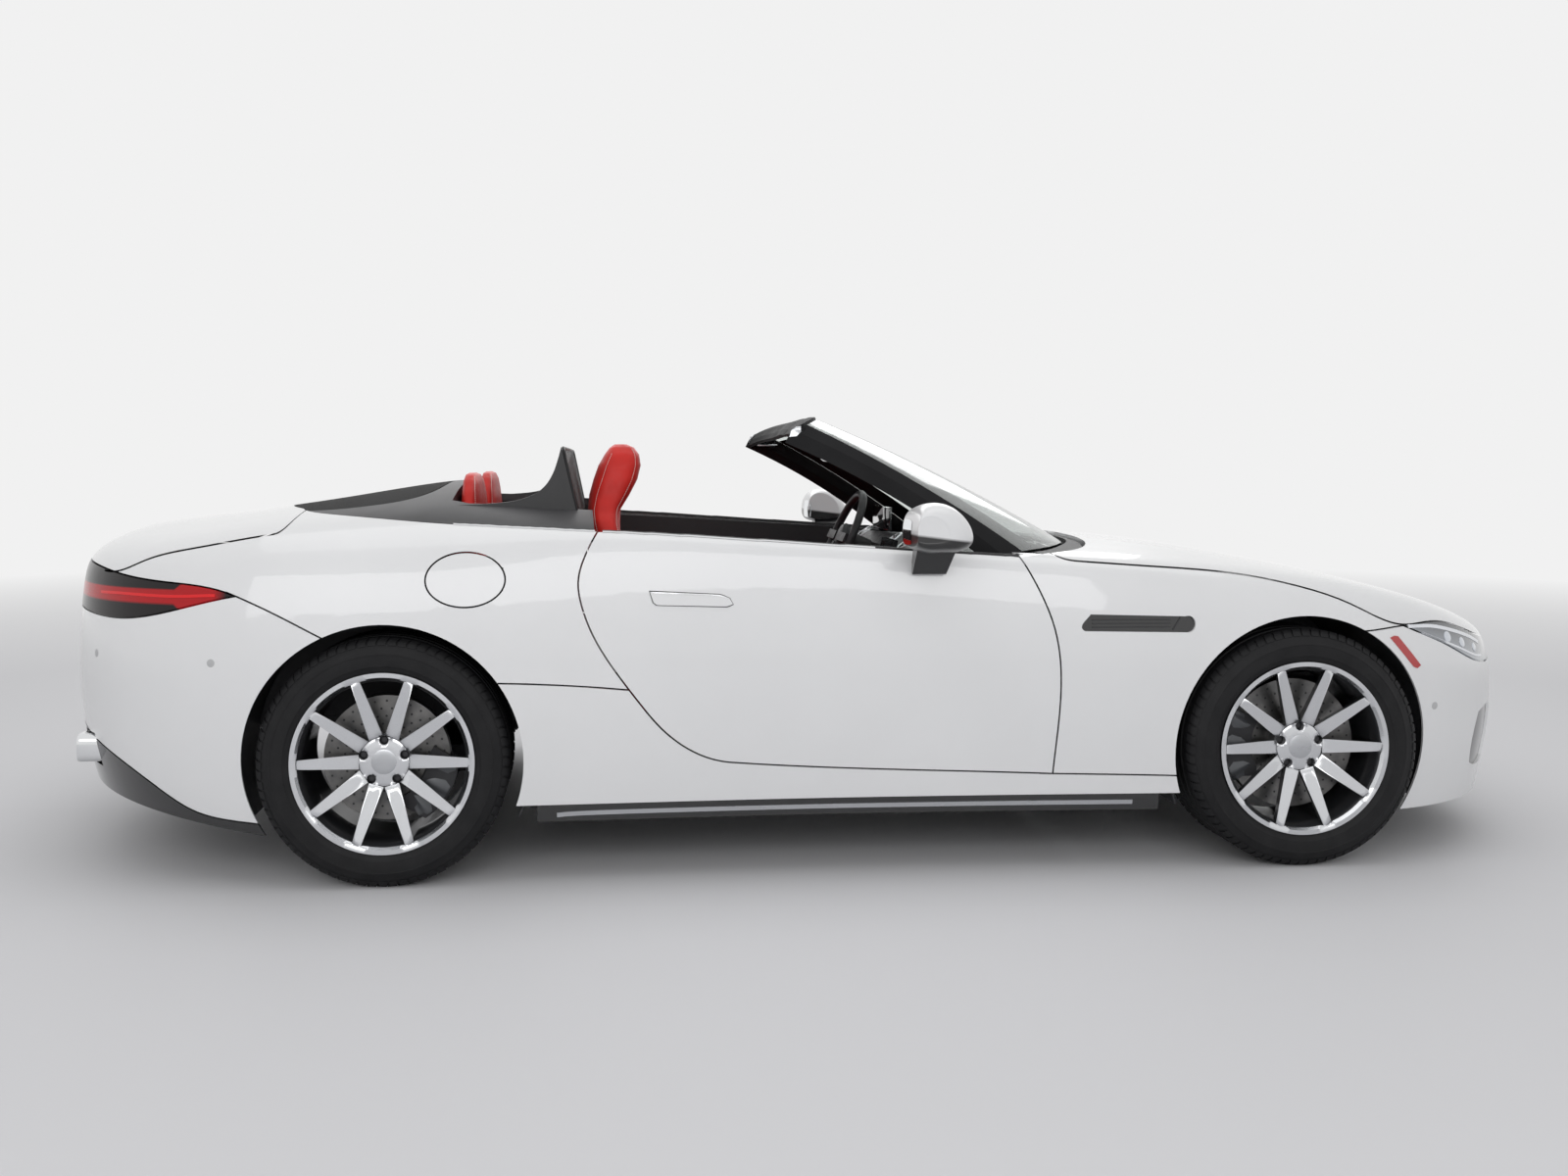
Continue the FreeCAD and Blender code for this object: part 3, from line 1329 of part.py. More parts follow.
def knuckle(side):
    """Steered upright with its spindle, ball pins, steering arm and brake caliper."""
    x, y = front_axle, side * STEER_Y
    half = size("front_tyre_width") / 2
    hat_inner = side * (size("front_track") / 2 + half - 36 - 46 - 47)
    hub_face = Vector(x, hat_inner, wheel_height)
    post_side = Vector(x, y - side * 10, wheel_height)
    post = box(x - 26, x + 26, y - 24, y + 24, LOWER_BALL + 20, UPPER_BALL - 20)
    parts = [
        cylinder(BALL, Vector(x, y, LOWER_BALL - 16), Vector(x, y, UPPER_BALL + 16)),
        cylinder(56, post_side, hub_face - Vector(0, side * SEAT, 0)),
        cylinder(size("spindle_radius"), Vector(x, y, wheel_height), hub_face + Vector(0, side * 44, 0)),
        caliper(front_axle, "front", side, 180),
        box(x - 120, x - 20, y - 14, y + 14, 340, 370),
    ]
    return post.fuse(parts)


def caliper(axle, which, side, angle):
    """Brake caliper that straddles its disc at an angle round the wheel, 0 forward and 90 up."""
    half = size(f"{which}_tyre_width") / 2
    inner = size(f"{which}_track") / 2 + half - 36 - 46 - 47
    radius = size(f"disc_{which}")
    y0, y1 = inner - 26, inner + size("disc_wall") + 22
    low, high = sorted((side * y0, side * y1))
    shell = cylinder(radius + 26, Vector(axle, low, wheel_height), Vector(axle, high, wheel_height))
    inner_ring = cylinder(radius - 62, Vector(axle, low, wheel_height), Vector(axle, high, wheel_height))
    shell = shell.cut(inner_ring)
    low, high = sorted((side * (inner - 4), side * (inner + size("disc_wall") + 4)))
    shell = shell.cut(cylinder(radius + 6, Vector(axle, low, wheel_height), Vector(axle, high, wheel_height)))
    block = box(radius - 80, radius + 60, -REACH, REACH, -95, 95)
    block.rotate(Vector(0, 0, 0), Y_AXIS, -angle)
    block.translate(Vector(axle, 0, wheel_height))
    link = box(80 if angle == 180 else 60, radius - 50, -REACH, REACH, -40, 40)
    link.rotate(Vector(0, 0, 0), Y_AXIS, -angle)
    link.translate(Vector(axle, 0, wheel_height))
    low, high = sorted((side * y0, side * (inner - 8)))
    web = link.common(box(axle - 300, axle + 300, low, high, 0, 800))
    body_web = box(20, 90, -REACH, REACH, -40, 40)
    body_web.rotate(Vector(0, 0, 0), Y_AXIS, -angle)
    body_web.translate(Vector(axle, 0, wheel_height))
    web = web.fuse(body_web.common(box(axle - 300, axle + 300, low, high, 0, 800)))
    return shell.common(block).fuse(web)


def running_gear():
    for side, word in ((-1, "right"), (1, "left")):
        piece(f"knuckle_{word}", knuckle(side))
    arms = [box(front_axle - 320, front_axle + 320, -400, 10, 190, 259.7)]
    for ball, inner_y, spread in ((LOWER_BALL, -380, 200), (UPPER_BALL, -480, 120)):
        for shift in (-spread, spread):
            start = Vector(front_axle + shift, inner_y, ball + (10 if ball == LOWER_BALL else 0))
            arms.append(ring_arm(start, Vector(front_axle, -STEER_Y, ball), 14, BALL + SEAT))
    ball = Vector(front_axle, -STEER_Y, LOWER_BALL)
    right = arms[0].fuse(arms[1:3]).cut(cylinder(BALL + SEAT, ball - Z_AXIS * 55, ball + Z_AXIS * 55))
    piece("front_subframe", both_sides(right))
    ball = Vector(front_axle, -STEER_Y, UPPER_BALL)
    upper = arms[3].fuse(arms[4]).cut(cylinder(BALL + SEAT, ball - Z_AXIS * 40, ball + Z_AXIS * 40))
    mount = box(front_axle - 140, front_axle + 140, -489.5, -450, 500 + SEAT, UPPER_BALL + 20)
    pair("upper_arms", upper.fuse(mount))
    piece("rear_axle", rear_axle_solid())
    half = size("engine_width") / 2
    start = FIREWALL + 60
    engine = box(start, start + size("engine_length"), -half, half, 260, 260 + size("engine_height"))
    piece("engine", engine)


def rear_axle_solid():
    """Rear subframe, drive shafts, uprights and calipers of both sides, one rigid assembly."""
    half = size("rear_tyre_width") / 2
    hat_inner = size("rear_track") / 2 + half - 36 - 46 - 47
    right = box(rear_axle - 240, rear_axle + 240, -420, 10, 215, 300)
    hub_face = Vector(rear_axle, -hat_inner, wheel_height)
    upright_y = -(hat_inner - 46)
    parts = [
        box(rear_axle - 110, rear_axle + 110, -110, 10, 260, 419.7),
        cylinder(20, Vector(rear_axle, -100, wheel_height - 10), Vector(rear_axle, upright_y, wheel_height)),
        box(rear_axle - 40, rear_axle + 40, upright_y - 20, upright_y + 24, 210, 500),
        cylinder(56, Vector(rear_axle, upright_y, wheel_height), hub_face + Vector(0, SEAT, 0)),
        cylinder(size("spindle_radius"), hub_face + Vector(0, 46, 0), hub_face - Vector(0, 44, 0)),
        caliper(rear_axle, "rear", -1, 330),
    ]
    for shift in (-180, 180):
        outer_end = Vector(rear_axle + shift / 8, upright_y, 235)
        parts.append(cylinder(16, Vector(rear_axle + shift, -400, 240), outer_end))
    right = right.fuse(parts)
    return right.fuse(mirrored(right))


running_gear()

# Cabin

SEAT_Y = size("seat_offset")


def extruded_profile(points, y0, y1):
    """Solid with a straight-sided side profile of (x, z) points between two Y values."""
    corners = [Vector(x, y0, z) for x, z in points]
    corners.append(corners[0])
    return Part.Face(Part.makePolygon(corners)).extrude(Vector(0, y1 - y0, 0))


def rounded(shape, radius, keep=lambda edge: True):
    edges = [edge for edge in shape.Edges if keep(edge)]
    return shape.makeFillet(radius, edges)


def upper_edge(edge):
    return edge.BoundBox.ZMin > 600 and edge.BoundBox.XMax < 320


def cabin():
    cushion = rounded(extruded_profile([(-560, 400), (-20, 440), (-10, 530), (-560, 480)], -222, 222), 30)
    back = rounded(extruded_profile([(-600, 440), (-450, 440), (-630, 1050), (-720, 1050)], -222, 222), 30)
    head = extruded_profile([(-715, 1010), (-615, 1010), (-560, 1200), (-600, 1265), (-660, 1255)], -120, 120)
    head = rounded(head, 30)
    soft = cushion.fuse([back, head])
    right = soft.copy()
    right.translate(Vector(0, -SEAT_Y, 0))
    pair("front_seats", right)
    base = extruded_profile([(-540, 222.3), (-120, 222.3), (-60, 436.7), (-540, 401.1)], -200, 200)
    base = base.cut(extruded_profile([(-500, 240), (-160, 240), (-160, 380), (-500, 380)], -170, 170))
    base.translate(Vector(0, -SEAT_Y, 0))
    pair("seat_bases", base)
    shelf = [
        (-1174, 440.3), (-800, 440.3), (-800, 560), (-1010, 600), (-1062, 1172), (-1116, 1172), (-1118, 1040),
        (-1174, 940),
    ]
    shelf = extruded_profile(shelf, -560, -60)
    pair("rear_seats", rounded(shelf, 20))
    dash = [(330, 760), (360, 900), (430, 948), (560, 930), (700, 880), (738, 860), (738, 700), (420, 690)]
    dashboard = extruded_profile(dash, -765, 0).common(half_body(36))
    dashboard = dashboard.cut([
        box(SCREEN_POST[0] - 20, FIREWALL, -800, SCREEN_POST[3] + 6, 600, 1000),
        box(420, FIREWALL, -800, -690, 872, 1000),
    ])
    piece("dashboard", both_sides(dashboard))
    console = [
        (-470, 440.3), (330, 440.3), (600, 440.3), (600, 689), (420, 689), (300, 690), (60, 620), (-470, 640),
    ]
    console = rounded(extruded_profile(console, -125, 125), 12, upper_edge)
    piece("centre_console", console)


STEER_TILT = 24
STEER_CENTRE = Vector(250, SEAT_Y, 915)


def steering():
    tilt = math.radians(STEER_TILT)
    axis = Vector(-math.cos(tilt), 0, math.sin(tilt))
    ring = Part.makeTorus(size("steering_wheel_radius"), 15, STEER_CENTRE, axis)
    hub = Part.makeCylinder(52, 46, STEER_CENTRE - axis * 40, axis)
    spokes = []
    for angle in (0, 180, 270):
        spoke = Part.makeBox(22, size("steering_wheel_radius") - 30, 34, Vector(-26, 25, -17))
        spoke.rotate(Vector(0, 0, 0), X_AXIS, angle)
        spoke.rotate(Vector(0, 0, 0), Y_AXIS, STEER_TILT)
        spoke.translate(STEER_CENTRE)
        spokes.append(spoke)
    wheel = ring.fuse([hub] + spokes)
    piece("steering_wheel", wheel)
    start = STEER_CENTRE - axis * 40.3
    column = Part.makeCylinder(36, 120, start - axis * 120, axis)
    piece("steering_column", column.cut(pieces["dashboard"].Shape))


def deflector():
    """Wind deflector behind the front seats: an upright screen with side fins that run back."""
    screen = extruded_profile([(-746, 1030), (-736, 1030), (-783, 1254), (-793, 1254)], -662, 662)
    fin = [(-1118, 1000), (-746, 1000), (-790, 1240), (-850, 1130), (-960, 1095), (-1118, 1085)]
    fin = extruded_profile(fin, -662, -652)
    half = screen.common(box(tail, nose, -REACH, 0, 0, 1400)).fuse(fin)
    under = outer.common(box(-1200, -700, -700, -636, 900, 1200))
    under.translate(Vector(0, 0, SEAT))
    half = half.cut(under.fuse(box(-1200, -700, -700, -636, 900, 1040)))
    piece("wind_deflector", both_sides(max(half.Solids, key=lambda solid: solid.Volume)))


cabin()
steering()
deflector()

# Side skirts


def low_trim():
    skirt = inside.common(box(place(1.16), place(1.84), -REACH, -850.3, 172, 223.7))
    pair("side_skirts", skirt)


low_trim()


def save_parts():
    """Check every object, then write one STEP file for each piece."""
    doc.recompute()
    for obj in doc.Objects:
        if "Invalid" in obj.State or "Error" in obj.State:
            raise RuntimeError(f"{obj.Label} failed: {obj.State}")
    for name, obj in pieces.items():
        if obj.Shape.isNull() or not obj.Shape.isValid():
            raise RuntimeError(f"{name} has no valid shape")
    os.makedirs("parts", exist_ok=True)
    for name, obj in pieces.items():
        obj.Shape.exportStep(os.path.join("parts", f"{name}.step"))


save_parts()
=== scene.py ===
"""Open roadster: finishes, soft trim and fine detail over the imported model, laid out as an add-on."""

import math

import bmesh
import bpy
from mathutils import Matrix, Vector


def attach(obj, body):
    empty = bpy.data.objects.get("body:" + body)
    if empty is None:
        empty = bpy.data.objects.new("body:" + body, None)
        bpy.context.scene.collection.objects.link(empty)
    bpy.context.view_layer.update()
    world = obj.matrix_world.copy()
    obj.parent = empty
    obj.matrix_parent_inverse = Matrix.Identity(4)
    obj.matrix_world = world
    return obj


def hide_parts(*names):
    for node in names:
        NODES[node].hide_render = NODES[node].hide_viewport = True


bl_info = {
    "name": "Roadster dressing",
    "version": (1, 0, 0),
    "blender": (4, 5, 0),
    "location": "View3D > Sidebar > Roadster",
    "description": "Finishes, seats, wheels, lamps and trim of an open roadster",
    "category": "Object",
}

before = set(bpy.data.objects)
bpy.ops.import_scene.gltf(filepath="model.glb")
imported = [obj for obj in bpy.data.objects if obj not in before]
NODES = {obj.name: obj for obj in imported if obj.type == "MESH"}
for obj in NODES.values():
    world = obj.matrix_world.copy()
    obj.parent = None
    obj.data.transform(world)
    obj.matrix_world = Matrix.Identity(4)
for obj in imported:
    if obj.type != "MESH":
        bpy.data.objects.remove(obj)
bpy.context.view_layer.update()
TURN = 2 * math.pi
ACROSS = Vector((0, 1, 0))
SIDES = ((-1, "right"), (1, "left"))
FRONT_AXLE = 1.412
REAR_AXLE = -1.288
WHEEL_HEIGHT = 0.355
# Middle of the tyre in x and y, tyre width, side of the car
WHEELS = {
    "front_right": (FRONT_AXLE, -0.816, 0.250, -1),
    "front_left": (FRONT_AXLE, 0.816, 0.250, 1),
    "rear_right": (REAR_AXLE, -0.803, 0.275, -1),
    "rear_left": (REAR_AXLE, 0.803, 0.275, 1),
}


# Finishes


class Finish:
    """One material: a Principled shader with its pattern read from Object coordinates."""

    def __init__(self, name, colour, roughness, sockets=()):
        self.material = bpy.data.materials.new(name)
        self.material.use_nodes = True
        self.tree = self.material.node_tree
        self.nodes, self.links = self.tree.nodes, self.tree.links
        self.shader = self.nodes["Principled BSDF"]
        self.place = self.nodes.new("ShaderNodeTexCoord").outputs["Object"]
        self.relief = None
        values = {"Base Color": (*colour, 1.0), "Roughness": roughness, **dict(sockets)}
        for socket, value in values.items():
            self.shader.inputs[socket].default_value = value

    def math(self, operation, *values):
        node = self.nodes.new("ShaderNodeMath")
        node.operation = operation
        for slot, value in zip(node.inputs, values):
            if isinstance(value, (int, float)):
                slot.default_value = value
            else:
                self.links.new(value, slot)
        return node.outputs[0]

    def texture(self, kind, scale, place=None):
        node = self.nodes.new(f"ShaderNodeTex{kind}")
        node.inputs["Scale"].default_value = scale
        self.links.new(place or self.place, node.inputs["Vector"])
        return node

    def noise(self, scale, detail=2.0, stretch=(1, 1, 1)):
        mapping = self.nodes.new("ShaderNodeMapping")
        mapping.inputs["Scale"].default_value = stretch
        self.links.new(self.place, mapping.inputs["Vector"])
        node = self.texture("Noise", scale, mapping.outputs[0])
        node.inputs["Detail"].default_value = detail
        return node.outputs["Fac"]

    def cells(self, scale, feature="F1"):
        node = self.texture("Voronoi", scale)
        node.feature = feature
        return node.outputs["Distance"]

    def bands(self, scale, direction="X"):
        node = self.texture("Wave", scale)
        node.bands_direction = direction
        return node.outputs["Fac"]

    def axes(self):
        node = self.nodes.new("ShaderNodeSeparateXYZ")
        self.links.new(self.place, node.inputs[0])
        return node.outputs

    def ramp(self, field, *stops):
        node = self.nodes.new("ShaderNodeValToRGB")
        ramp = node.color_ramp
        while len(ramp.elements) < len(stops):
            ramp.elements.new(0.5)
        for element, (position, colour) in zip(ramp.elements, stops):
            element.position = position
            element.color = (*colour, 1.0) if isinstance(colour, tuple) else (colour, colour, colour, 1.0)
        self.links.new(field, node.inputs[0])
        return node.outputs[0]

    def colour(self, field, *stops):
        self.links.new(self.ramp(field, *stops), self.shader.inputs["Base Color"])

    def tint(self, field, low, high):
        self.colour(field, (0.3, low), (0.7, high))

    def roughness(self, field, low, high):
        self.links.new(self.ramp(field, (0.3, low), (0.7, high)), self.shader.inputs["Roughness"])

    def bump(self, field, strength, distance):
        node = self.nodes.new("ShaderNodeBump")
        node.inputs["Strength"].default_value = strength
        node.inputs["Distance"].default_value = distance
        self.links.new(field, node.inputs["Height"])
        if self.relief:
            self.links.new(self.relief, node.inputs["Normal"])
        self.relief = node.outputs[0]
        self.links.new(self.relief, self.shader.inputs["Normal"])


def moulded(level):
    """Grained black plastic of a given lightness."""
    def shade(share, blue):
        return level * share, level * share, level * blue

    return (
        (level, level, level * 1.06), 0.52, {}, ("tint", "noise", (6, 4), shade(0.8, 0.85), shade(1.3, 1.36)),
        ("bump", "cells", (900,), 0.25, 0.0004),
    )


LEATHER_CREASES = ("bump", "noise", (38, 3), 0.10, 0.003)
LEATHER_GRAIN = (("bump", "cells", (420, "DISTANCE_TO_EDGE"), 0.22, 0.0009), LEATHER_CREASES)
LACQUER_GRAIN = ("bump", "noise", (300, 1), 0.04, 0.0004)
PAINT_GRAIN = ("bump", "noise", (420, 1), 0.02, 0.0004)
RED, BLACK = (0.60, 0.020, 0.014), (0.022, 0.022, 0.024)


def leather(colour, gloss=0.42):
    dark = tuple(c * 0.82 for c in colour)
    light = tuple(min(c * 1.12, 1) for c in colour)
    return (
        colour, gloss, {"Specular IOR Level": 0.3}, ("tint", "noise", (11, 4), dark, light),
        ("roughness", "noise", (60, 3), gloss - 0.05, gloss + 0.1), *LEATHER_GRAIN,
    )


def weave(finish):
    """Warp and weft of the soft top's cloth."""
    threads = finish.math("MULTIPLY", finish.bands(170, "X"), finish.bands(170, "Y"))
    finish.colour(threads, (0.1, (0.009, 0.009, 0.009)), (0.8, (0.020, 0.020, 0.020)))
    finish.bump(threads, 0.5, 0.0012)


def lamp_bands(finish):
    """Tail lamp: a red band between a smoked upper part and a black foot, dark again at its tip."""
    across, _, height = finish.axes()
    level = finish.math("MULTIPLY", finish.math("SUBTRACT", height, 0.78), 10.0)
    lift = finish.math("MULTIPLY", finish.math("MAXIMUM", finish.math("ADD", across, 1.88), 0.0), 8.0)
    under_smoke = finish.ramp(finish.math("SUBTRACT", level, lift), (0.61, 1.0), (0.66, 0.0))
    over_foot = finish.ramp(finish.math("ADD", level, lift), (0.20, 0.0), (0.27, 1.0))
    before_tip = finish.math("MULTIPLY", finish.math("ADD", across, 1.80), 5.0)
    band = finish.math("MULTIPLY", under_smoke, over_foot)
    band = finish.math("MULTIPLY", band, finish.ramp(before_tip, (0.20, 1.0), (0.38, 0.0)))
    finish.colour(band, (0.0, (0.006, 0.003, 0.004)), (1.0, (0.46, 0.004, 0.008)))


def cover_shades(finish):
    """Headlamp cover: clear towards the light guides and dark towards its upper edge."""
    across, _, height = finish.axes()
    field = finish.math("ADD", finish.math("MULTIPLY", height, 2.6), finish.math("MULTIPLY", across, 0.75))
    field = finish.math("SUBTRACT", field, 2.72)
    finish.colour(field, (0.10, (0.30, 0.32, 0.35)), (0.34, (0.42, 0.45, 0.49)), (0.52, (0.10, 0.105, 0.115)),
                  (0.66, (0.018, 0.018, 0.020)))


def two_tone(below, above, level, slope):
    """Two colours that meet along a line across the piece, as on a two-tone moulding."""
    def shades(finish):
        across, _, height = finish.axes()
        lean = finish.math("MULTIPLY", across, slope)
        field = finish.math("ADD", finish.math("SUBTRACT", height, level + 0.5), lean)
        field = finish.math("ADD", field, 1.0)
        finish.colour(field, (0.0, below), (0.4994, below), (0.5006, above), (1.0, above))

    return shades


# Colour, roughness, other sockets, then steps: what is done, the pattern with its values, the step's own values
FINISHES = {
    "white_body_paint": (
        (0.80, 0.805, 0.815), 0.34, {"Coat Weight": 1.0, "Coat Roughness": 0.03, "Coat IOR": 1.5},
        ("tint", "noise", (2.3, 3), (0.785, 0.79, 0.80), (0.815, 0.82, 0.83)), PAINT_GRAIN),
    "gloss_black_lacquer": (
        (0.010, 0.010, 0.011), 0.12, {"Coat Weight": 0.8, "Coat Roughness": 0.04},
        ("roughness", "noise", (9, 3), 0.09, 0.16), ("bump", "noise", (300, 1), 0.02, 0.0004)),
    "satin_black_lacquer": (
        (0.012, 0.012, 0.013), 0.38, {"Specular IOR Level": 0.28},
        ("roughness", "noise", (9, 3), 0.34, 0.44), LACQUER_GRAIN),
    "seal_black": (
        (0.011, 0.011, 0.012), 0.62, {"Specular IOR Level": 0.15},
        ("roughness", "noise", (9, 3), 0.56, 0.68), LACQUER_GRAIN),
    "moulded_black": moulded(0.022), "deck_trim_grain": moulded(0.045), "deflector_grain": moulded(0.03),
    "dark_thread": moulded(0.05),
    "soft_top_cloth": (
        (0.012, 0.012, 0.012), 0.9, {"Sheen Weight": 0.05, "Specular IOR Level": 0.25},
        weave, ("bump", "noise", (14, 3), 0.1, 0.004)),
    "red_leather": leather(RED), "black_leather": leather(BLACK),
    "perforated_red_leather": (
        RED, 0.46, {"Specular IOR Level": 0.3},
        ("tint", "noise", (11, 4), (0.52, 0.017, 0.012), (0.66, 0.023, 0.016)),
        ("bump", "cells", (190,), 0.35, 0.0010), LEATHER_CREASES),
    "two_tone_door_leather": (
        (0.020, 0.020, 0.022), 0.5, {"Specular IOR Level": 0.3},
        two_tone(RED, (0.020, 0.020, 0.022), 0.845, 0.0), *LEATHER_GRAIN),
    "white_thread": ((0.82, 0.80, 0.77), 0.7, {"Sheen Weight": 0.2}, ("bump", "bands", (900, "X"), 0.3, 0.0003)),
    "black_carpet": (
        (0.016, 0.016, 0.017), 0.95, {"Sheen Weight": 0.3},
        ("tint", "noise", (500, 3), (0.008, 0.008, 0.009), (0.030, 0.030, 0.032)),
        ("bump", "noise", (800, 2), 0.8, 0.002)),
    "tyre_rubber": (
        (0.009, 0.009, 0.010), 0.62, {"Specular IOR Level": 0.25},
        ("tint", "noise", (16, 5), (0.007, 0.007, 0.008), (0.013, 0.013, 0.014)),
        ("bump", "noise", (700, 2), 0.25, 0.0006)),
    "machined_alloy": (
        (0.66, 0.67, 0.69), 0.22, {"Metallic": 1.0}, ("roughness", "noise", (30, 2, (1, 4, 1)), 0.19, 0.26)),
    "dark_wheel_paint": (
        (0.034, 0.035, 0.038), 0.34, {"Metallic": 0.4, "Coat Weight": 0.5, "Coat Roughness": 0.08},
        ("colour", "noise", (900, 1), (0.35, (0.030, 0.031, 0.034)), (0.65, (0.038, 0.039, 0.043)))),
    # Brake discs: iron tone with a warm cast, lowered to 0.13–0.21 as painted shade for the shadow that falls on the
    # disc behind the spokes.
    "brake_disc_iron_and_shade": (
        (0.30, 0.30, 0.31), 0.36, {"Metallic": 1.0},
        ("tint", "noise", (30, 4), (0.13, 0.13, 0.13), (0.21, 0.205, 0.20)),
        ("bump", "noise", (260, 2), 0.12, 0.0005)),
    "caliper_grey_paint": (
        (0.085, 0.090, 0.098), 0.38, {"Metallic": 0.3, "Coat Weight": 0.5, "Coat Roughness": 0.1},
        ("bump", "noise", (240, 2), 0.1, 0.0006)),
    "dark_underbody_paint": (
        (0.035, 0.035, 0.038), 0.55, {"Metallic": 0.3},
        ("tint", "noise", (7, 4), (0.025, 0.025, 0.028), (0.048, 0.048, 0.052)),
        ("bump", "noise", (120, 3), 0.2, 0.001)),
    "bright_chrome": ((0.78, 0.79, 0.80), 0.09, {"Metallic": 1.0}, ("roughness", "noise", (14, 3), 0.07, 0.14)),
    "satin_silver_trim": (
        (0.52, 0.53, 0.55), 0.30, {"Metallic": 1.0}, ("roughness", "noise", (60, 3, (0.2, 1, 1)), 0.25, 0.38)),
    "mirror_glass": ((0.83, 0.85, 0.87), 0.04, {"Metallic": 1.0}, ("roughness", "noise", (10, 2), 0.02, 0.06)),
    "two_tone_mirror_shell": (
        (0.80, 0.805, 0.815), 0.3, {"Coat Weight": 0.4, "Coat Roughness": 0.05},
        two_tone((0.012, 0.012, 0.013), (0.80, 0.805, 0.815), 1.028, 0.125), PAINT_GRAIN),
    "screen_glass": (
        (0.90, 0.95, 0.93), 0.01, {"Transmission Weight": 1.0, "IOR": 1.45},
        ("roughness", "noise", (5, 2), 0.0, 0.01)),
    "deflector_mesh": ((0.018, 0.018, 0.020), 0.6, {"Alpha": 0.72}, ("bump", "cells", (600,), 0.6, 0.0012)),
    "speaker_mesh": ((0.10, 0.10, 0.105), 0.4, {"Metallic": 0.7}, ("bump", "cells", (500,), 0.6, 0.001)),
    "display_glass": (
        (0.012, 0.013, 0.016), 0.08, {"Coat Weight": 1.0, "Coat Roughness": 0.02},
        ("roughness", "noise", (12, 2), 0.05, 0.12)),
    "red_lamp_lens": (
        (0.30, 0.006, 0.010), 0.16, {"Specular IOR Level": 0.35},
        lamp_bands, ("bump", "bands", (38, "Z"), 0.08, 0.002)),
    "bright_red_lamp_strip": (
        (0.80, 0.012, 0.016), 0.16, {"Specular IOR Level": 0.4}, ("bump", "bands", (90, "X"), 0.10, 0.0008)),
    "red_reflector": ((0.46, 0.012, 0.014), 0.12, {"Coat Weight": 1.0}, ("bump", "cells", (260,), 0.3, 0.0008)),
    "headlamp_cover": (
        (0.05, 0.052, 0.056), 0.08, {"Coat Weight": 1.0, "Coat Roughness": 0.02},
        cover_shades, ("bump", "bands", (26, "X"), 0.12, 0.002)),
    "lamp_light_guide": ((0.86, 0.88, 0.92), 0.18, {"Coat Weight": 0.6}, ("bump", "bands", (60, "X"), 0.1, 0.0008)),
    "projector_glass": (
        (0.62, 0.65, 0.70), 0.05, {"Metallic": 0.6, "Coat Weight": 1.0, "Coat Roughness": 0.02},
        ("roughness", "noise", (30, 2), 0.03, 0.10)),
    "sensor_grey": ((0.50, 0.505, 0.515), 0.42, {}, ("roughness", "noise", (60, 2), 0.36, 0.48)),
    "blank_plate": (
        (0.72, 0.73, 0.74), 0.38, {},
        ("roughness", "noise", (40, 3), 0.3, 0.45), ("bump", "noise", (90, 2), 0.08, 0.0005)),
    # Exhaust bores: near black, partly the soot of a real pipe and partly painted shade for the pipe's dark depth.
    "soot_and_shade_black": ((0.008, 0.008, 0.008), 0.9, {}, ("bump", "noise", (200, 3), 0.3, 0.0006)),
}
MATERIALS = {}


def material(name):
    """A finish is made once and shared by the pieces that have it."""
    if name not in MATERIALS:
        colour, roughness, sockets, *steps = FINISHES[name]
        finish = Finish(name, colour, roughness, sockets)
        for step in steps:
            if callable(step):
                step(finish)
            else:
                kind, pattern, values, *rest = step
                getattr(finish, kind)(getattr(finish, pattern)(*values), *rest)
        MATERIALS[name] = finish.material
    return MATERIALS[name]


# Making pieces


def new_object(name, data):
    obj = bpy.data.objects.new(name, data)
    bpy.context.scene.collection.objects.link(obj)
    return obj


def piece(name, mesh, finish, body="body", slot="exhaust_chrome", smooth=40):
    """Object at the origin that rides on a body, with its faces smoothed up to an angle."""
    obj = new_object(name, mesh)
    mesh.materials.clear()
    mesh.materials.append(material(finish))
    mesh.shade_smooth()
    if smooth:
        mesh.set_sharp_from_angle(angle=math.radians(smooth))
    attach(obj, body)
    return obj


def mesh_from(work, name):
    mesh = bpy.data.meshes.new(name)
    work.to_mesh(mesh)
    work.free()
    return mesh


def mesh_of(name, build):
    """Mesh made with bmesh by a function that fills it."""
    work = bmesh.new()
    build(work)
    bmesh.ops.remove_doubles(work, verts=work.verts, dist=1e-6)
    bmesh.ops.recalc_face_normals(work, faces=work.faces)
    return mesh_from(work, name)


def add(name, build, *rest):
    """Piece whose mesh is made by a function that fills it."""
    return piece(name, mesh_of(name, build), *rest)


def mirror_mesh(mesh, name):
    """Copy of a mesh on the other side of the car."""
    work = bmesh.new()
    work.from_mesh(mesh)
    bmesh.ops.transform(work, matrix=Matrix.Diagonal((1, -1, 1, 1)), verts=work.verts)
    bmesh.ops.reverse_faces(work, faces=work.faces)
    return mesh_from(work, name)


def merged(node, name):
    """A node's mesh with its loose triangles joined, for a piece that stands for the node."""
    work = bmesh.new()
    work.from_mesh(NODES[node].data)
    bmesh.ops.remove_doubles(work, verts=work.verts, dist=2e-6)
    return mesh_from(work, name)


def skin_rows(work, rows, across=True, along=False, caps=True):
    """Faces between rows of points, closed round each row, from the last row to the first, or with end faces."""
    verts = [[work.verts.new(point) for point in row] for row in rows]
    count = len(verts[0])
    pairs = list(zip(verts, verts[1:]))
    if along:
        pairs.append((verts[-1], verts[0]))
    for low, high in pairs:
        for k in range(count if across else count - 1):
            n = (k + 1) % count
            work.faces.new((low[k], low[n], high[n], high[k]))
    if caps:
        work.faces.new(verts[0])
        work.faces.new(verts[-1])


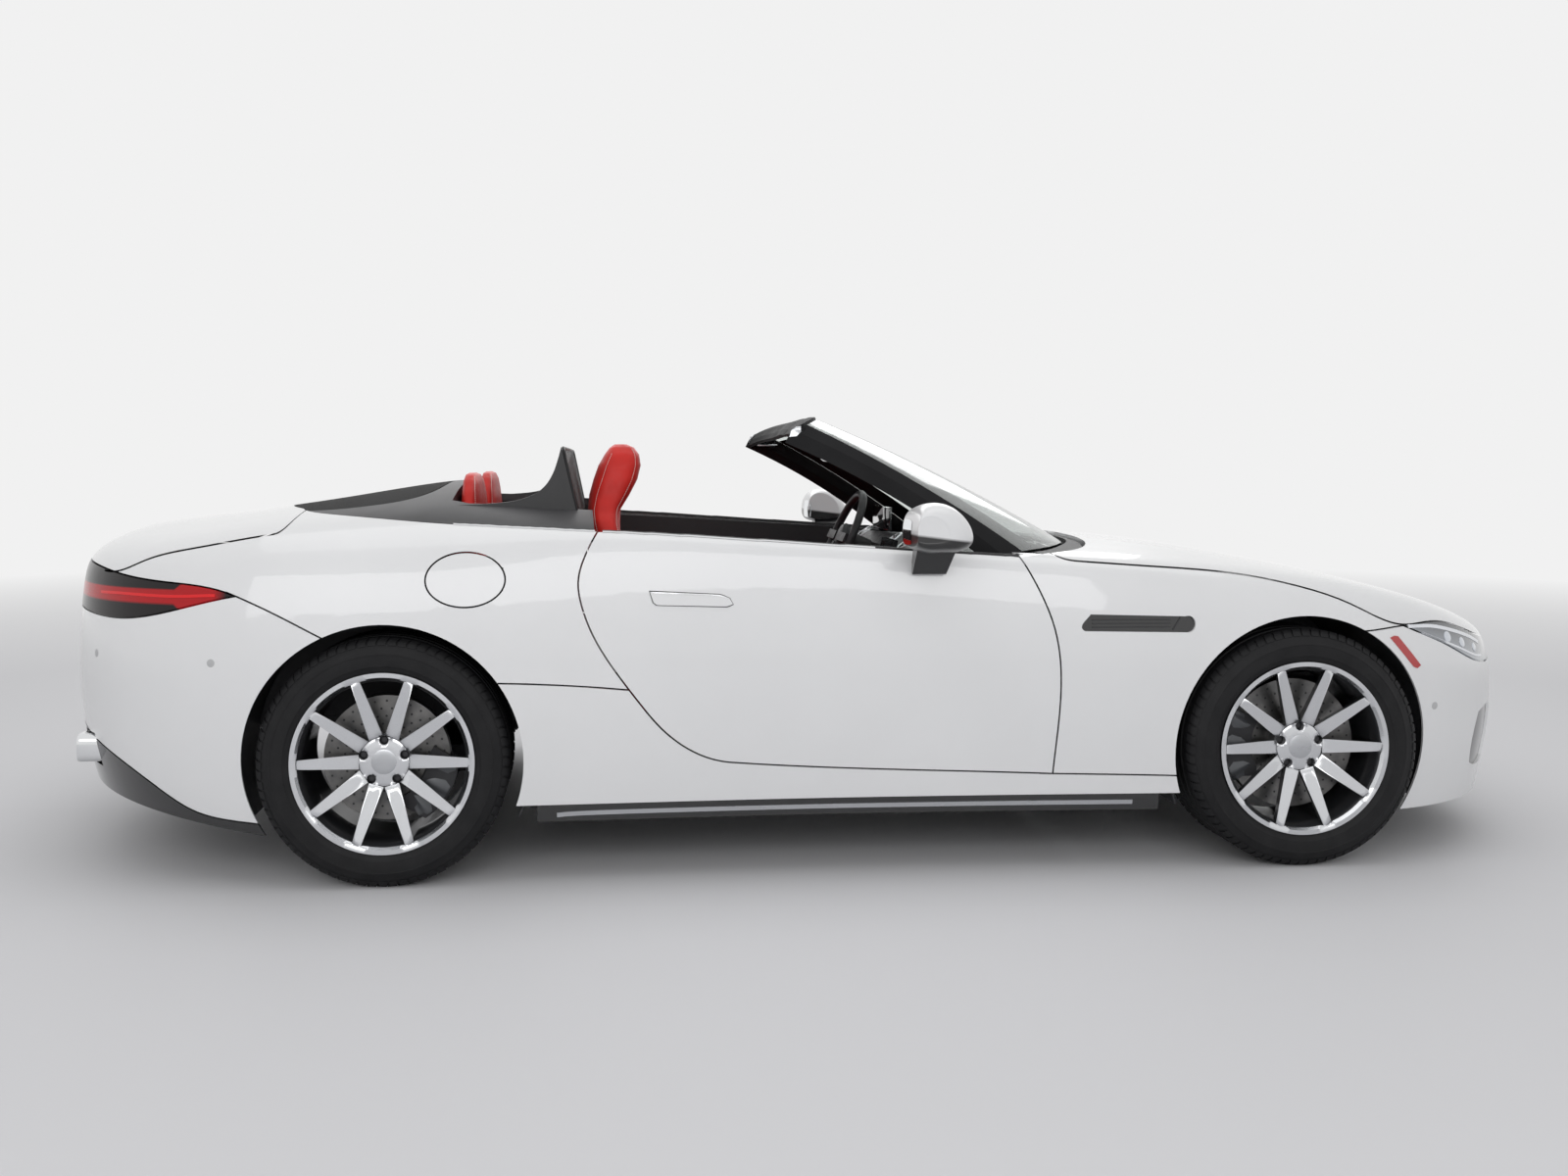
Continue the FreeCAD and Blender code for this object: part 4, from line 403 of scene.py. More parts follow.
def circle(count):
    """Sine and cosine at equal steps round a turn."""
    return [(math.sin(TURN * k / count), math.cos(TURN * k / count)) for k in range(count)]


def squared(value, power):
    """Sine or cosine drawn outward, so that a circle becomes a rounded square."""
    return math.copysign(abs(value) ** power, value)


def cast(node, start, way, reach):
    """Point where a ray first meets a node, or None."""
    hit, point, _, _ = NODES[node].ray_cast(Vector(start), Vector(way), distance=reach)
    return point.copy() if hit else None


def spun(work, profile, centre, segments):
    """Ring turned about the wheel axis (Y) from (radius, y) points."""
    x, y, z = centre
    rows = [[(x + r * s, y + a, z + r * c) for r, a in profile] for s, c in circle(segments)]
    skin_rows(work, rows, along=True, caps=False)


def tube(work, points, radius, sides):
    """Round bar that follows points."""
    rows = []
    for k, point in enumerate(points):
        ahead = points[min(k + 1, len(points) - 1)] - points[max(k - 1, 0)]
        ahead.normalize()
        side = ahead.cross(Vector((0, 0, 1)))
        if side.length < 1e-4:
            side = ahead.cross(Vector((1, 0, 0)))
        side.normalize()
        up = side.cross(ahead)
        rows.append([point + side * (radius * c) + up * (radius * s) for s, c in circle(sides)])
    skin_rows(work, rows)


def block(work, low, high, bevel=0.0, segments=2):
    """Box between two corners with its edges rounded."""
    centre = (Vector(low) + Vector(high)) / 2
    extent = Vector(high) - Vector(low)
    made = bmesh.ops.create_cube(work, size=1.0)["verts"]
    for vert in made:
        vert.co = Vector(c * e for c, e in zip(vert.co, extent)) + centre
    if bevel:
        edges = {edge for vert in made for edge in vert.link_edges}
        bmesh.ops.bevel(work, geom=list(edges), offset=bevel, segments=segments, affect="EDGES", profile=0.5)


# Settings


class WheelSettings(bpy.types.PropertyGroup):
    shoulder_blocks: bpy.props.IntProperty(
        name="Shoulder blocks", description="Tread blocks round a tyre's shoulder", default=76)
    disc_hole_rows: bpy.props.IntProperty(
        name="Disc hole rows", description="Rows of holes round a brake disc", default=30)


class StageSettings(bpy.types.PropertyGroup):
    floor_size: bpy.props.FloatProperty(name="Floor size", description="Side of the floor", default=60.0, unit="LENGTH")
    floor_colour: bpy.props.FloatVectorProperty(
        name="Floor colour", description="Colour of the floor", default=(0.72, 0.72, 0.74), subtype="COLOR")
    background: bpy.props.FloatVectorProperty(
        name="Background", description="Colour that the floor fades into", default=(0.88, 0.88, 0.88), subtype="COLOR")
    lens: bpy.props.FloatProperty(name="Lens", description="Focal length of the camera in millimetres", default=30.957)


# Solids that keep their own shape

PANELS = ("fenders", "quarter_panels", "sills", "front_bumper", "rear_bumper", "door_right", "door_left", "hood",
          "trunk_lid", "fuel_flap")
PLAIN_NODES = {
    "gloss_black_lacquer": ("side_vents", "diffuser", "side_skirts", "grille"),
    "headlamp_cover": ("headlamps",),
    "red_lamp_lens": ("tail_lamps",),
    "two_tone_door_leather": ("door_lining_right", "door_lining_left"),
    "two_tone_mirror_shell": ("mirror_right", "mirror_left"),
    "bright_chrome": ("exhaust_tips",),
    "dark_underbody_paint": ("body_structure", "knuckle_right", "knuckle_left", "front_subframe", "upper_arms",
                             "rear_axle"),
    "screen_glass": ("windscreen_glass",),
    "seal_black": ("windscreen_frame",),
    "soft_top_cloth": ("soft_top_cover",),
    "deck_trim_grain": ("deck_trim",),
    "moulded_black": ("cowl", "engine", "seat_bases", "steering_column"),
    "red_leather": ("front_seats", "rear_seats"),
    "black_leather": ("dashboard", "centre_console", "steering_wheel"),
    "deflector_mesh": ("wind_deflector",),
    "tyre_rubber": [f"tyre_{corner}" for corner in WHEELS],
    "machined_alloy": [f"rim_{corner}" for corner in WHEELS],
    "brake_disc_iron_and_shade": [f"disc_{corner}" for corner in WHEELS],
}


def node_finish(node, finish):
    """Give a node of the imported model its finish."""
    data = NODES[node].data
    data.materials.clear()
    data.materials.append(material(finish))


class BodyPanels(bpy.types.Operator):
    """Painted skin of the body: each panel gets the white paint"""

    bl_idname = "roadster.body_panels"
    bl_label = "Body panels"

    def execute(self, context):
        for node in PANELS:
            node_finish(node, "white_body_paint")
        return {"FINISHED"}


class PlainNodes(bpy.types.Operator):
    """Finishes of the solids that keep their own shape"""

    bl_idname = "roadster.plain_nodes"
    bl_label = "Solids"

    def execute(self, context):
        for finish, nodes in PLAIN_NODES.items():
            for node in nodes:
                node_finish(node, finish)
        return {"FINISHED"}


# Repeats, by Geometry Nodes


def ring_copies(given, node):
    """Copies of a piece set round the wheel axis."""
    points = node("GeometryNodePoints", {"Count": given["Count"]})
    index = node("GeometryNodeInputIndex", {})
    share = node("ShaderNodeMath", {0: index[0], 1: given["Count"]}, operation="DIVIDE")
    angle = node("ShaderNodeMath", {0: share[0], 1: TURN}, operation="MULTIPLY")
    euler = node("FunctionNodeEulerToRotation", {0: node("ShaderNodeCombineXYZ", {"Y": angle[0]})[0]})
    copies = node("GeometryNodeInstanceOnPoints",
                  {"Points": points[0], "Instance": given["Geometry"], "Rotation": euler[0]})
    return node("GeometryNodeTransform", {"Geometry": copies[0], "Translation": given["Centre"]})


def stitch_copies(given, node):
    """Short stitches set along lines of edges."""
    curve = node("GeometryNodeMeshToCurve", {"Mesh": given["Geometry"]})
    points = node("GeometryNodeCurveToPoints", {"Curve": curve[0], "Length": given["Pitch"]}, mode="LENGTH")
    stitch = node("GeometryNodeMeshCylinder", {"Vertices": 6, "Radius": given["Radius"], "Depth": given["Length"]})
    return node("GeometryNodeInstanceOnPoints",
                {"Points": points["Points"], "Rotation": points["Rotation"], "Instance": stitch["Mesh"]})


REPEATS = {
    "ring_of_copies": (ring_copies, (("Count", "Int"), ("Centre", "Vector"))),
    "line_of_stitches": (stitch_copies, (("Pitch", "Float"), ("Length", "Float"), ("Radius", "Float"))),
}
TREES = {}


def repeat_tree(name):
    """Tree that makes the copies real and gives them their finish; made once."""
    if name in TREES:
        return TREES[name]
    fill, sockets = REPEATS[name]
    tree = TREES[name] = bpy.data.node_groups.new(name, "GeometryNodeTree")
    for socket, kind in (("Geometry", "Geometry"), *sockets, ("Finish", "Material")):
        tree.interface.new_socket(socket, in_out="INPUT", socket_type=f"NodeSocket{kind}")
    tree.interface.new_socket("Geometry", in_out="OUTPUT", socket_type="NodeSocketGeometry")

    def node(kind, inputs, **settings):
        made = tree.nodes.new(kind)
        for key, value in settings.items():
            setattr(made, key, value)
        for key, value in inputs.items():
            if isinstance(value, (int, float)):
                made.inputs[key].default_value = value
            else:
                tree.links.new(value, made.inputs[key])
        return made.outputs

    given = node("NodeGroupInput", {})
    solid = node("GeometryNodeRealizeInstances", {0: fill(given, node)[0]})
    dressed = node("GeometryNodeSetMaterial", {"Geometry": solid[0], "Material": given["Finish"]})
    node("NodeGroupOutput", {0: dressed[0]})
    return tree


def repeated(name, item, kind, values, finish, body, slot, smooth):
    """Plain mesh of the copies that a tree makes of one item."""
    tree = repeat_tree(kind)
    work = new_object(f"{name}_item", item)
    modifier = work.modifiers.new("repeat", "NODES")
    modifier.node_group = tree
    values = dict(values, Finish=material(finish))
    for socket in tree.interface.items_tree:
        if socket.in_out == "INPUT" and socket.name in values:
            modifier[socket.identifier] = values[socket.name]
    graph = bpy.context.evaluated_depsgraph_get()
    mesh = bpy.data.meshes.new_from_object(work.evaluated_get(graph), depsgraph=graph)
    bpy.data.objects.remove(work)
    return piece(name, mesh, finish, body, slot, smooth)


# Wheels

BEAD = 0.2413
TREAD = 0.355
# Radius, and distance from the tyre's half width: bead, sidewall with its rings, shoulder
TYRE_SIDE = (
    (BEAD, -0.018), (0.2500, -0.0155), (0.2592, -0.0125), (0.2606, -0.0085), (0.2640, -0.0075), (0.2760, -0.0025),
    (0.2770, -0.0012), (0.2800, -0.0012), (0.2812, -0.0010), (0.2950, 0.0), (0.3080, 0.0), (0.3092, 0.0008),
    (0.3110, 0.0008), (0.3122, -0.0004), (0.3230, -0.0035), (0.3340, -0.0090), (0.3420, -0.0150), (0.3480, -0.0220),
    (0.3520, -0.0310),
)
GROOVES = (0.062, 0.022)
# Distance from the tread's radius and from the groove's middle
GROOVE_SECTION = ((-0.0006, 0.0065), (-0.0075, 0.0045), (-0.0075, -0.0045), (-0.0003, -0.0065))
# Radius, distance from the half width, lean in hundredths of a radian
SHOULDER_BLOCK = (
    (0.3535, -0.0310, 2), (0.3555, -0.0300, 2), (0.3515, -0.0205, 1), (0.3445, -0.0125, 0), (0.3360, -0.0080, 0),
    (0.3350, -0.0090, 0), (0.3440, -0.0160, 0),
)
BLOCK_SHARE = 0.80
# Radius, and distance from the hub's face
CAP_SECTION = (
    (0.0005, -0.004), (0.0005, 0.0035), (0.020, 0.0032), (0.031, 0.0020), (0.0355, 0.0006), (0.0365, -0.004),
)
BOLT_CIRCLE = 0.061
# Depth under the hub's face, radius, sides: head and washer
BOLT_STEPS = ((0.014, 0.0085, 6), (0.020, 0.0115, 24))
BOLT_DEPTH = 0.007
HUB_INSET = 0.036
# Machined faces: how straight they look outward, and how near the tyre's side they lie
FACE_TURN, FACE_INSET = 0.80, 0.06
LIP_TURN, LIP_INSET = 0.2, 0.015
# Holes of a disc: radius, holes in a row, first one's distance from the edge, step inward, step round
DISC_HOLE = 0.0034
HOLES_IN_ROW = 4
HOLE_INSET, HOLE_STEP, HOLE_TURN = 0.016, 0.022, 0.10
# Disc radius, y of the disc's outer face, and turn of the caliper's middle
DISCS = {"front": (0.195, 0.844 + 0.0004, 180), "rear": (0.180, 0.8435 + 0.0004, 330)}
# Distance from the disc's edge and from its face
CALIPER_SECTION = (
    (-0.066, 0.008), (-0.060, 0.017), (-0.030, 0.0225), (0.000, 0.0235), (0.020, 0.021), (0.0268, 0.012),
    (0.0268, 0.006), (0.010, 0.0052), (-0.060, 0.0052),
)
CALIPER_STEPS = 26
CALIPER_START, CALIPER_SPAN = -31, 62
RIB_HEIGHT, END_DROP, END_TAPER = 0.0028, -0.001, 0.010


def tyre_profile(half):
    """Section of the tyre as (radius, across) points, with a grooved tread."""
    right = [(radius, half + inset) for radius, inset in TYRE_SIDE]
    right += [(TREAD + depth, groove + out) for groove in GROOVES for depth, out in GROOVE_SECTION]
    return right + [(radius, -across) for radius, across in reversed(right)]


class Tyres(bpy.types.Operator):
    """Tyres with moulded sidewalls, a grooved tread and shoulder blocks"""

    bl_idname = "roadster.tyres"
    bl_label = "Tyres"

    def execute(self, context):
        count = context.scene.roadster_wheels.shoulder_blocks
        for corner, (x, y, width, side) in WHEELS.items():
            half = width / 2
            centre = (x, y, WHEEL_HEIGHT)
            body = f"wheel_{corner}"
            made = add(f"tyre_{corner}_moulded", lambda work: spun(work, tyre_profile(half), centre, 180),
                       "tyre_rubber", body, "tyre_rubber", 30)
            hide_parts(f"tyre_{corner}")

            def shoulder(work):
                for way in (-1, 1):
                    rows = []
                    for turn in (-0.5, 0.5):
                        angle = turn * TURN / count * BLOCK_SHARE
                        rows.append([
                            (r * math.sin(angle + lean * 0.01), way * (half + a), r * math.cos(angle + lean * 0.01))
                            for r, a, lean in SHOULDER_BLOCK
                        ])
                    skin_rows(work, rows)

            repeated(f"tyre_{corner}_shoulder_blocks", mesh_of(f"shoulder_block_{corner}", shoulder), "ring_of_copies",
                     {"Count": count, "Centre": centre}, "tyre_rubber", body, "tyre_rubber", 30)
        return {"FINISHED"}


class Rims(bpy.types.Operator):
    """Machined faces and dark pockets of the rims, centre caps, wheel bolts and discs, whose drilled holes are flat
    black marks of painted shade
    """

    bl_idname = "roadster.rims"
    bl_label = "Rims and brakes"

    def execute(self, context):
        hole_rows = context.scene.roadster_wheels.disc_hole_rows
        for corner, (x, across, width, side) in WHEELS.items():
            body = f"wheel_{corner}"
            edge = abs(across) + width / 2
            name = f"rim_{corner}_machined"
            made = piece(name, merged(f"rim_{corner}", name), "machined_alloy", body, "rim_alloy", 30)
            made.data.materials.append(material("dark_wheel_paint"))
            for face in made.data.polygons:
                outward = face.normal.y * side
                forward = face.center.y * side
                facing = outward > FACE_TURN and forward > edge - FACE_INSET - 0.002
                lip = outward > LIP_TURN and forward > edge - LIP_INSET
                face.material_index = 0 if facing or lip else 1
            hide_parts(f"rim_{corner}")
            hub = edge - HUB_INSET
            centre = (x, 0.0, WHEEL_HEIGHT)
            reach, plate, middle = DISCS[corner.split("_")[0]]
            cap = [(r, (hub + a) * side) for r, a in CAP_SECTION]
            add(f"centre_cap_{corner}", lambda work: spun(work, cap, centre, 48), "satin_silver_trim", body,
                "rim_alloy", 50)

            def bolt(work):
                for level, radius, sides in BOLT_STEPS:
                    rows = []
                    for depth in (0.0, BOLT_DEPTH):
                        y = side * (hub - level - depth)
                        rows.append([(radius * s, y, BOLT_CIRCLE + radius * c) for s, c in circle(sides)])
                    skin_rows(work, rows)

            # Each drilled hole is a flat black disc on the disc's face: painted shade standing in for the hole.
            def holes(work):
                for step in range(HOLES_IN_ROW):
                    radius = reach - HOLE_INSET - step * HOLE_STEP
                    turn = HOLE_TURN * step
                    spot = Vector((radius * math.sin(turn), 0, radius * math.cos(turn)))
                    work.faces.new([
                        work.verts.new((spot.x + DISC_HOLE * s, side * plate, spot.z + DISC_HOLE * c))
                        for s, c in circle(12)
                    ])

            repeated(f"wheel_bolts_{corner}", mesh_of(f"wheel_bolt_{corner}", bolt), "ring_of_copies",
                     {"Count": 5, "Centre": centre}, "dark_underbody_paint", body, "brake_iron", 35)
            repeated(f"disc_holes_{corner}", mesh_of(f"disc_hole_{corner}", holes), "ring_of_copies",
                     {"Count": hole_rows, "Centre": centre}, "moulded_black", body, "brake_iron", 0)
            self.caliper(corner, Vector((x, 0, WHEEL_HEIGHT)), side, plate, reach, math.radians(middle))
        return {"FINISHED"}

    def caliper(self, corner, centre, side, plate, reach, middle):
        """Outer half of the caliper: an arched casting with cooling ribs."""
        def casting(work):
            rows = []
            for k in range(CALIPER_STEPS + 1):
                share = k / CALIPER_STEPS
                angle = middle + math.radians(CALIPER_START + CALIPER_SPAN * share)
                swell = RIB_HEIGHT * math.cos(5 * math.pi * (share - 0.5)) if 0.1 < share < 0.9 else END_DROP
                taper = END_TAPER * max(0.0, abs(share - 0.5) - 0.36) / 0.14
                row = []
                for radius, depth in CALIPER_SECTION:
                    r = reach + radius - (taper if radius > 0 else -taper)
                    deep = depth + (swell if depth > 0.015 else 0)
                    row.append(centre + Vector((r * math.cos(angle), side * (plate + deep), r * math.sin(angle))))
                rows.append(row)
            skin_rows(work, rows)

        body = f"knuckle_{corner.split('_')[1]}" if "front" in corner else "body"
        add(f"caliper_{corner}", casting, "caliper_grey_paint", body, "dark_metal", 35)


# Seats

SEAT_Y = 0.37
REAR_SEAT_Y = 0.31
# Place along the form, front face, back face, half width
BACK_STATIONS = (
    (0.452, -0.466, -0.590, 0.190), (0.520, -0.478, -0.610, 0.210), (0.640, -0.510, -0.632, 0.219),
    (0.760, -0.545, -0.654, 0.220), (0.880, -0.580, -0.680, 0.217), (0.960, -0.602, -0.697, 0.206),
    (1.015, -0.612, -0.710, 0.184), (1.055, -0.610, -0.716, 0.155), (1.100, -0.582, -0.712, 0.135),
    (1.150, -0.556, -0.698, 0.125), (1.195, -0.545, -0.682, 0.117), (1.230, -0.550, -0.662, 0.104),
    (1.252, -0.566, -0.646, 0.080), (1.263, -0.590, -0.630, 0.040),
)
CUSHION_STATIONS = (
    (-0.552, 0.474, 0.408, 0.190), (-0.500, 0.482, 0.408, 0.210), (-0.400, 0.492, 0.416, 0.219),
    (-0.280, 0.504, 0.426, 0.221), (-0.160, 0.515, 0.434, 0.219), (-0.080, 0.523, 0.442, 0.212),
    (-0.040, 0.520, 0.450, 0.198), (-0.018, 0.506, 0.462, 0.170),
)
REAR_BACK_STATIONS = (
    (0.575, -1.006, -1.166, 0.225), (0.640, -1.012, -1.168, 0.238), (0.800, -1.026, -1.168, 0.241),
    (0.920, -1.038, -1.164, 0.241), (1.000, -1.047, -1.138, 0.238), (1.060, -1.053, -1.118, 0.226),
    (1.110, -1.058, -1.115, 0.202), (1.145, -1.063, -1.113, 0.168), (1.165, -1.071, -1.108, 0.118),
    (1.171, -1.083, -1.100, 0.060),
)
REAR_CUSHION_STATIONS = (
    (-0.998, 0.592, 0.446, 0.225), (-0.950, 0.588, 0.444, 0.238), (-0.880, 0.574, 0.444, 0.240),
    (-0.835, 0.562, 0.446, 0.232), (-0.812, 0.548, 0.462, 0.205),
)
SEAT_ROUNDNESS = 0.62
BOLSTER_START, BOLSTER_END = 0.46, 0.74
SEAM_LIFT = 0.0012
CHANNELS = (-0.086, -0.043, 0.0, 0.043, 0.086)
CHANNEL_DEPTH, CHANNEL_WIDTH = 0.0035, 0.0055
PAD_CAP = 0.006
PAD_HALF, PAD_THICK = 0.116, 0.030
PAD_STEPS = 26
STITCH = {"Pitch": 0.0072, "Length": 0.0050, "Radius": 0.00075}
# Turn round the section, start and end as shares of the length; an end below 0 counts from the last station
FRONT_SEAMS = ((0.62, 0.06, -0.02), (1.12, 0.10, 0.66), (-0.45, 0.06, -0.04))
REAR_SEAMS = ((0.52, 0.10, -0.02),)


def between(stations, place):
    """Values at a place on a list of stations."""
    for low, high in zip(stations, stations[1:]):
        if min(low[0], high[0]) <= place <= max(low[0], high[0]):
            share = (place - low[0]) / (high[0] - low[0])
            return tuple(a + (b - a) * share for a, b in zip(low, high))
    return stations[0] if abs(place - stations[0][0]) < abs(place - stations[-1][0]) else stations[-1]


def ease(value, low, high):
    share = min(max((value - low) / (high - low), 0.0), 1.0)
    return share * share * (3 - 2 * share)


def seat_vector(place, y, depth, upright):
    return Vector((depth, y, place)) if upright else Vector((place, y, depth))


def seat_point(station, turn, middle, upright, hollow, lift=0.0):
    """Point of a padded form's section: full sides, rounded corners, and a hollow between its side bolsters."""
    place, face, back, half = station
    u, w = squared(math.cos(turn), SEAT_ROUNDNESS), squared(math.sin(turn), SEAT_ROUNDNESS)
    thick = face - back
    depth = (face + back) / 2 + w * thick / 2
    if w > 0:
        depth -= math.copysign(hollow * (1 - ease(abs(u), BOLSTER_START, BOLSTER_END)), thick) * w
    depth += math.copysign(lift, thick) * w
    return seat_vector(place, middle + u * (half + lift), depth, upright)


def seat_form(work, stations, middle, upright, hollow_at, steps=48, between_steps=3):
    """Closed padded form through its stations."""
    places = []
    for low, high in zip(stations, stations[1:]):
        places += [low[0] + (high[0] - low[0]) * k / between_steps for k in range(between_steps)]
    places.append(stations[-1][0])
    rows = []
    for place in places:
        station, hollow = between(stations, place), hollow_at(place)
        rows.append([seat_point(station, TURN * k / steps, middle, upright, hollow) for k in range(steps)])
    skin_rows(work, rows)


def seat_seams(seams, stations, middle, upright, hollow_at, count=60):
    """Lines of points along the seams of a padded form, in pairs."""
    first, last = stations[0][0], stations[-1][0]
    reach = last - first
    lines = []
    for seam, start, end in seams:
        low = first + start * reach
        high = (last if end < 0 else first) + end * reach
        places = [low + (high - low) * k / count for k in range(count + 1)]
        for turn in (seam, math.pi - seam):
            lines.append([
                seat_point(between(stations, place), turn, middle, upright, hollow_at(place), SEAM_LIFT)
                for place in places
            ])
    return lines


def line_mesh(name, lines):
    """Mesh of edges only, one run for each line of points."""
    mesh = bpy.data.meshes.new(name)
    verts, edges = [], []
    for line in lines:
        start = len(verts)
        verts += [tuple(point) for point in line]
        edges += [(start + k, start + k + 1) for k in range(len(line) - 1)]
    mesh.from_pydata(verts, edges, [])
    return mesh


def stitches(name, lines, body, slot, finish="white_thread"):
    return repeated(name, line_mesh(f"{name}_line", lines), "line_of_stitches", STITCH, finish, body, slot, 0)


def evaluated(obj):
    """Mesh of an object after its modifiers; the object is removed."""
    mesh = bpy.data.meshes.new_from_object(obj.evaluated_get(bpy.context.evaluated_depsgraph_get()))
    bpy.data.objects.remove(obj)
    return mesh


def swelled(mesh, name, cap):
    """Pad remeshed and swelled by a cloth run under light pressure, no point moved further than the cap."""
    flat = new_object(f"{name}_cut", mesh)
    remesh = flat.modifiers.new("remesh", "REMESH")
    remesh.mode = "VOXEL"
    remesh.voxel_size = 0.006
    made = evaluated(flat)
    rest = [vert.co.copy() for vert in made.vertices]
    pad = new_object(f"{name}_cloth", made)
    cloth = pad.modifiers.new("cloth", "CLOTH")
    cloth.settings.use_pressure = True
    cloth.settings.uniform_pressure_force = 4
    cloth.settings.effector_weights.gravity = 0
    scene = bpy.context.scene
    for step in range(1, 21):
        scene.frame_set(step)
    result = evaluated(pad)
    scene.frame_set(1)
    for vert, start in zip(result.vertices, rest):
        move = vert.co - start
        if move.length > cap:
            vert.co = start + move.normalized() * cap
    return result


def insert_pad(name, stations, middle, upright, start, finish, rise):
    """Padded insert between the bolsters, swelled, with sewn channels that run its length."""
    def surface(place):
        face, back = between(stations, place)[1:3]
        way = math.copysign(1.0, face - back)
        return face - way * (PAD_THICK / 2 - rise), way

    def slab(work):
        rows = []
        for k in range(PAD_STEPS + 1):
            share = k / PAD_STEPS
            place = start + (finish - start) * share
            level, way = surface(place)
            pull = 1 - 0.10 * (2 * share - 1) ** 6
            row = []
            for s, c in circle(28):
                u, w = squared(c, 0.4), squared(s, 0.6)
                depth = level + w * PAD_THICK / 2 * (1 - 0.35 * (2 * share - 1) ** 8)
                row.append(seat_vector(place, middle + u * PAD_HALF * pull, depth, upright))
            rows.append(row)
        skin_rows(work, rows)

    mesh = swelled(mesh_of(f"{name}_slab", slab), name, PAD_CAP)
    along, deep = (2, 0) if upright else (0, 2)
    for vert in mesh.vertices:
        level, way = surface(vert.co[along])
        if (vert.co[deep] - level) * way > 0:
            near = min(abs(vert.co.y - middle - line) for line in CHANNELS)
            vert.co[deep] -= way * (CHANNEL_DEPTH * math.exp(-(near / CHANNEL_WIDTH) ** 2))
    return mesh


def back_hollow(height):
    return 0.017 * (1 - ease(height, 0.93, 1.02)) * ease(height, 0.46, 0.54)


def cushion_hollow(place):
    return 0.014 * ease(place, -0.552, -0.48) * (1 - ease(place, -0.12, -0.03))


def no_hollow(_):
    return 0.0


class Seats(bpy.types.Operator):
    """Front seats with one-piece headrests and the small rear seats, in red leather with white stitching"""

    bl_idname = "roadster.seats"
    bl_label = "Seats"

    def execute(self, context):
        pads = {
            "backrest": insert_pad("backrest_insert", BACK_STATIONS, -SEAT_Y, True, 0.510, 0.955, -0.006),
            "cushion": insert_pad("cushion_insert", CUSHION_STATIONS, -SEAT_Y, False, -0.470, -0.075, -0.004),
        }
        forms = {
            "backrest": (BACK_STATIONS, SEAT_Y, True, back_hollow, "front_seats", FRONT_SEAMS),
            "cushion": (CUSHION_STATIONS, SEAT_Y, False, cushion_hollow, "front_seats", FRONT_SEAMS),
            "rear_backrest": (REAR_BACK_STATIONS, REAR_SEAT_Y, True, no_hollow, "rear_seats", REAR_SEAMS),
            "rear_cushion": (REAR_CUSHION_STATIONS, REAR_SEAT_Y, False, no_hollow, "rear_seats", REAR_SEAMS),
        }
        for name, (stations, middle, upright, hollow_at, node, seams) in forms.items():
            mesh = mesh_of(f"{name}_right", lambda work: seat_form(work, stations, -middle, upright, hollow_at))
            for side, made, y in (("right", mesh, -middle), ("left", mirror_mesh(mesh, f"{name}_left"), middle)):
                form = piece(f"{name}_{side}", made, "red_leather", "body", "red_leather", 60)
                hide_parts(node)
                lines = seat_seams(seams, stations, y, upright, hollow_at)
                stitches(f"{name}_{side}_stitching", lines, "body", "red_leather")
        for name, mesh in pads.items():
            for side, made in (("right", mesh), ("left", mirror_mesh(mesh, f"{name}_insert_left"))):
                pad = piece(f"{name}_insert_{side}", made, "perforated_red_leather", "body", "red_leather", 0)
        return {"FINISHED"}


# Trim set on the body's skin

SIDE_NODES = ("fenders", "quarter_panels", "sills", "front_bumper", "rear_bumper", "diffuser", "door_right", "door_left",
              "hood", "trunk_lid", "headlamps", "tail_lamps", "side_skirts", "deck_trim", "side_vents", "fuel_flap")
# Steps aside that bridge a shut line
NEAR = ((0, 0), (0, -0.007), (0, 0.007), (-0.007, 0), (0.007, 0), (0, -0.014), (-0.014, 0), (0, 0.014))


def skin_point(x, z, side, lift=0.0, nodes=None):
    """Point of the painted skin seen from the side at a place, with its outward direction."""
    found = None
    for dx, dz in NEAR:
        start = Vector((x + dx, side * 1.3, z + dz))
        for node in nodes or SIDE_NODES:
            hit, point, normal, _ = NODES[node].ray_cast(start, Vector((0, -side, 0)), distance=1.2)
            if hit and (found is None or abs(point.y) > abs(found[0].y)):
                found = (Vector((x, point.y, z)), normal.copy())
        if found:
            break
    if found is None:
        raise ValueError(f"no skin at {x:.3f}, {z:.3f}")
    point, normal = found
    if normal.y * side < 0:
        normal = -normal
    return point + normal * lift, normal


def skin_patch(work, outline, side, lift, thick, steps=10, nodes=None):
    """Plate that lies on the skin inside an outline of (x, z) points, drawn from above and below."""
    xs = [x for x, _ in outline]
    low, high = min(xs), max(xs)
    rows = []
    for k in range(steps + 1):
        x = low + (high - low) * (0.001 + 0.998 * k / steps)
        cuts = []
        for (x0, z0), (x1, z1) in zip(outline, outline[1:] + outline[:1]):
            if (x0 - x) * (x1 - x) <= 0 and x0 != x1:
                cuts.append(z0 + (z1 - z0) * (x - x0) / (x1 - x0))
        bottom, top = min(cuts), max(cuts)
        outer, inner = [], []
        for n in range(7):
            point, normal = skin_point(x, bottom + (top - bottom) * n / 6, side, lift, nodes)
            outer.append(point)
            inner.insert(0, point - normal * thick)
        rows.append(outer + inner)
    skin_rows(work, rows)


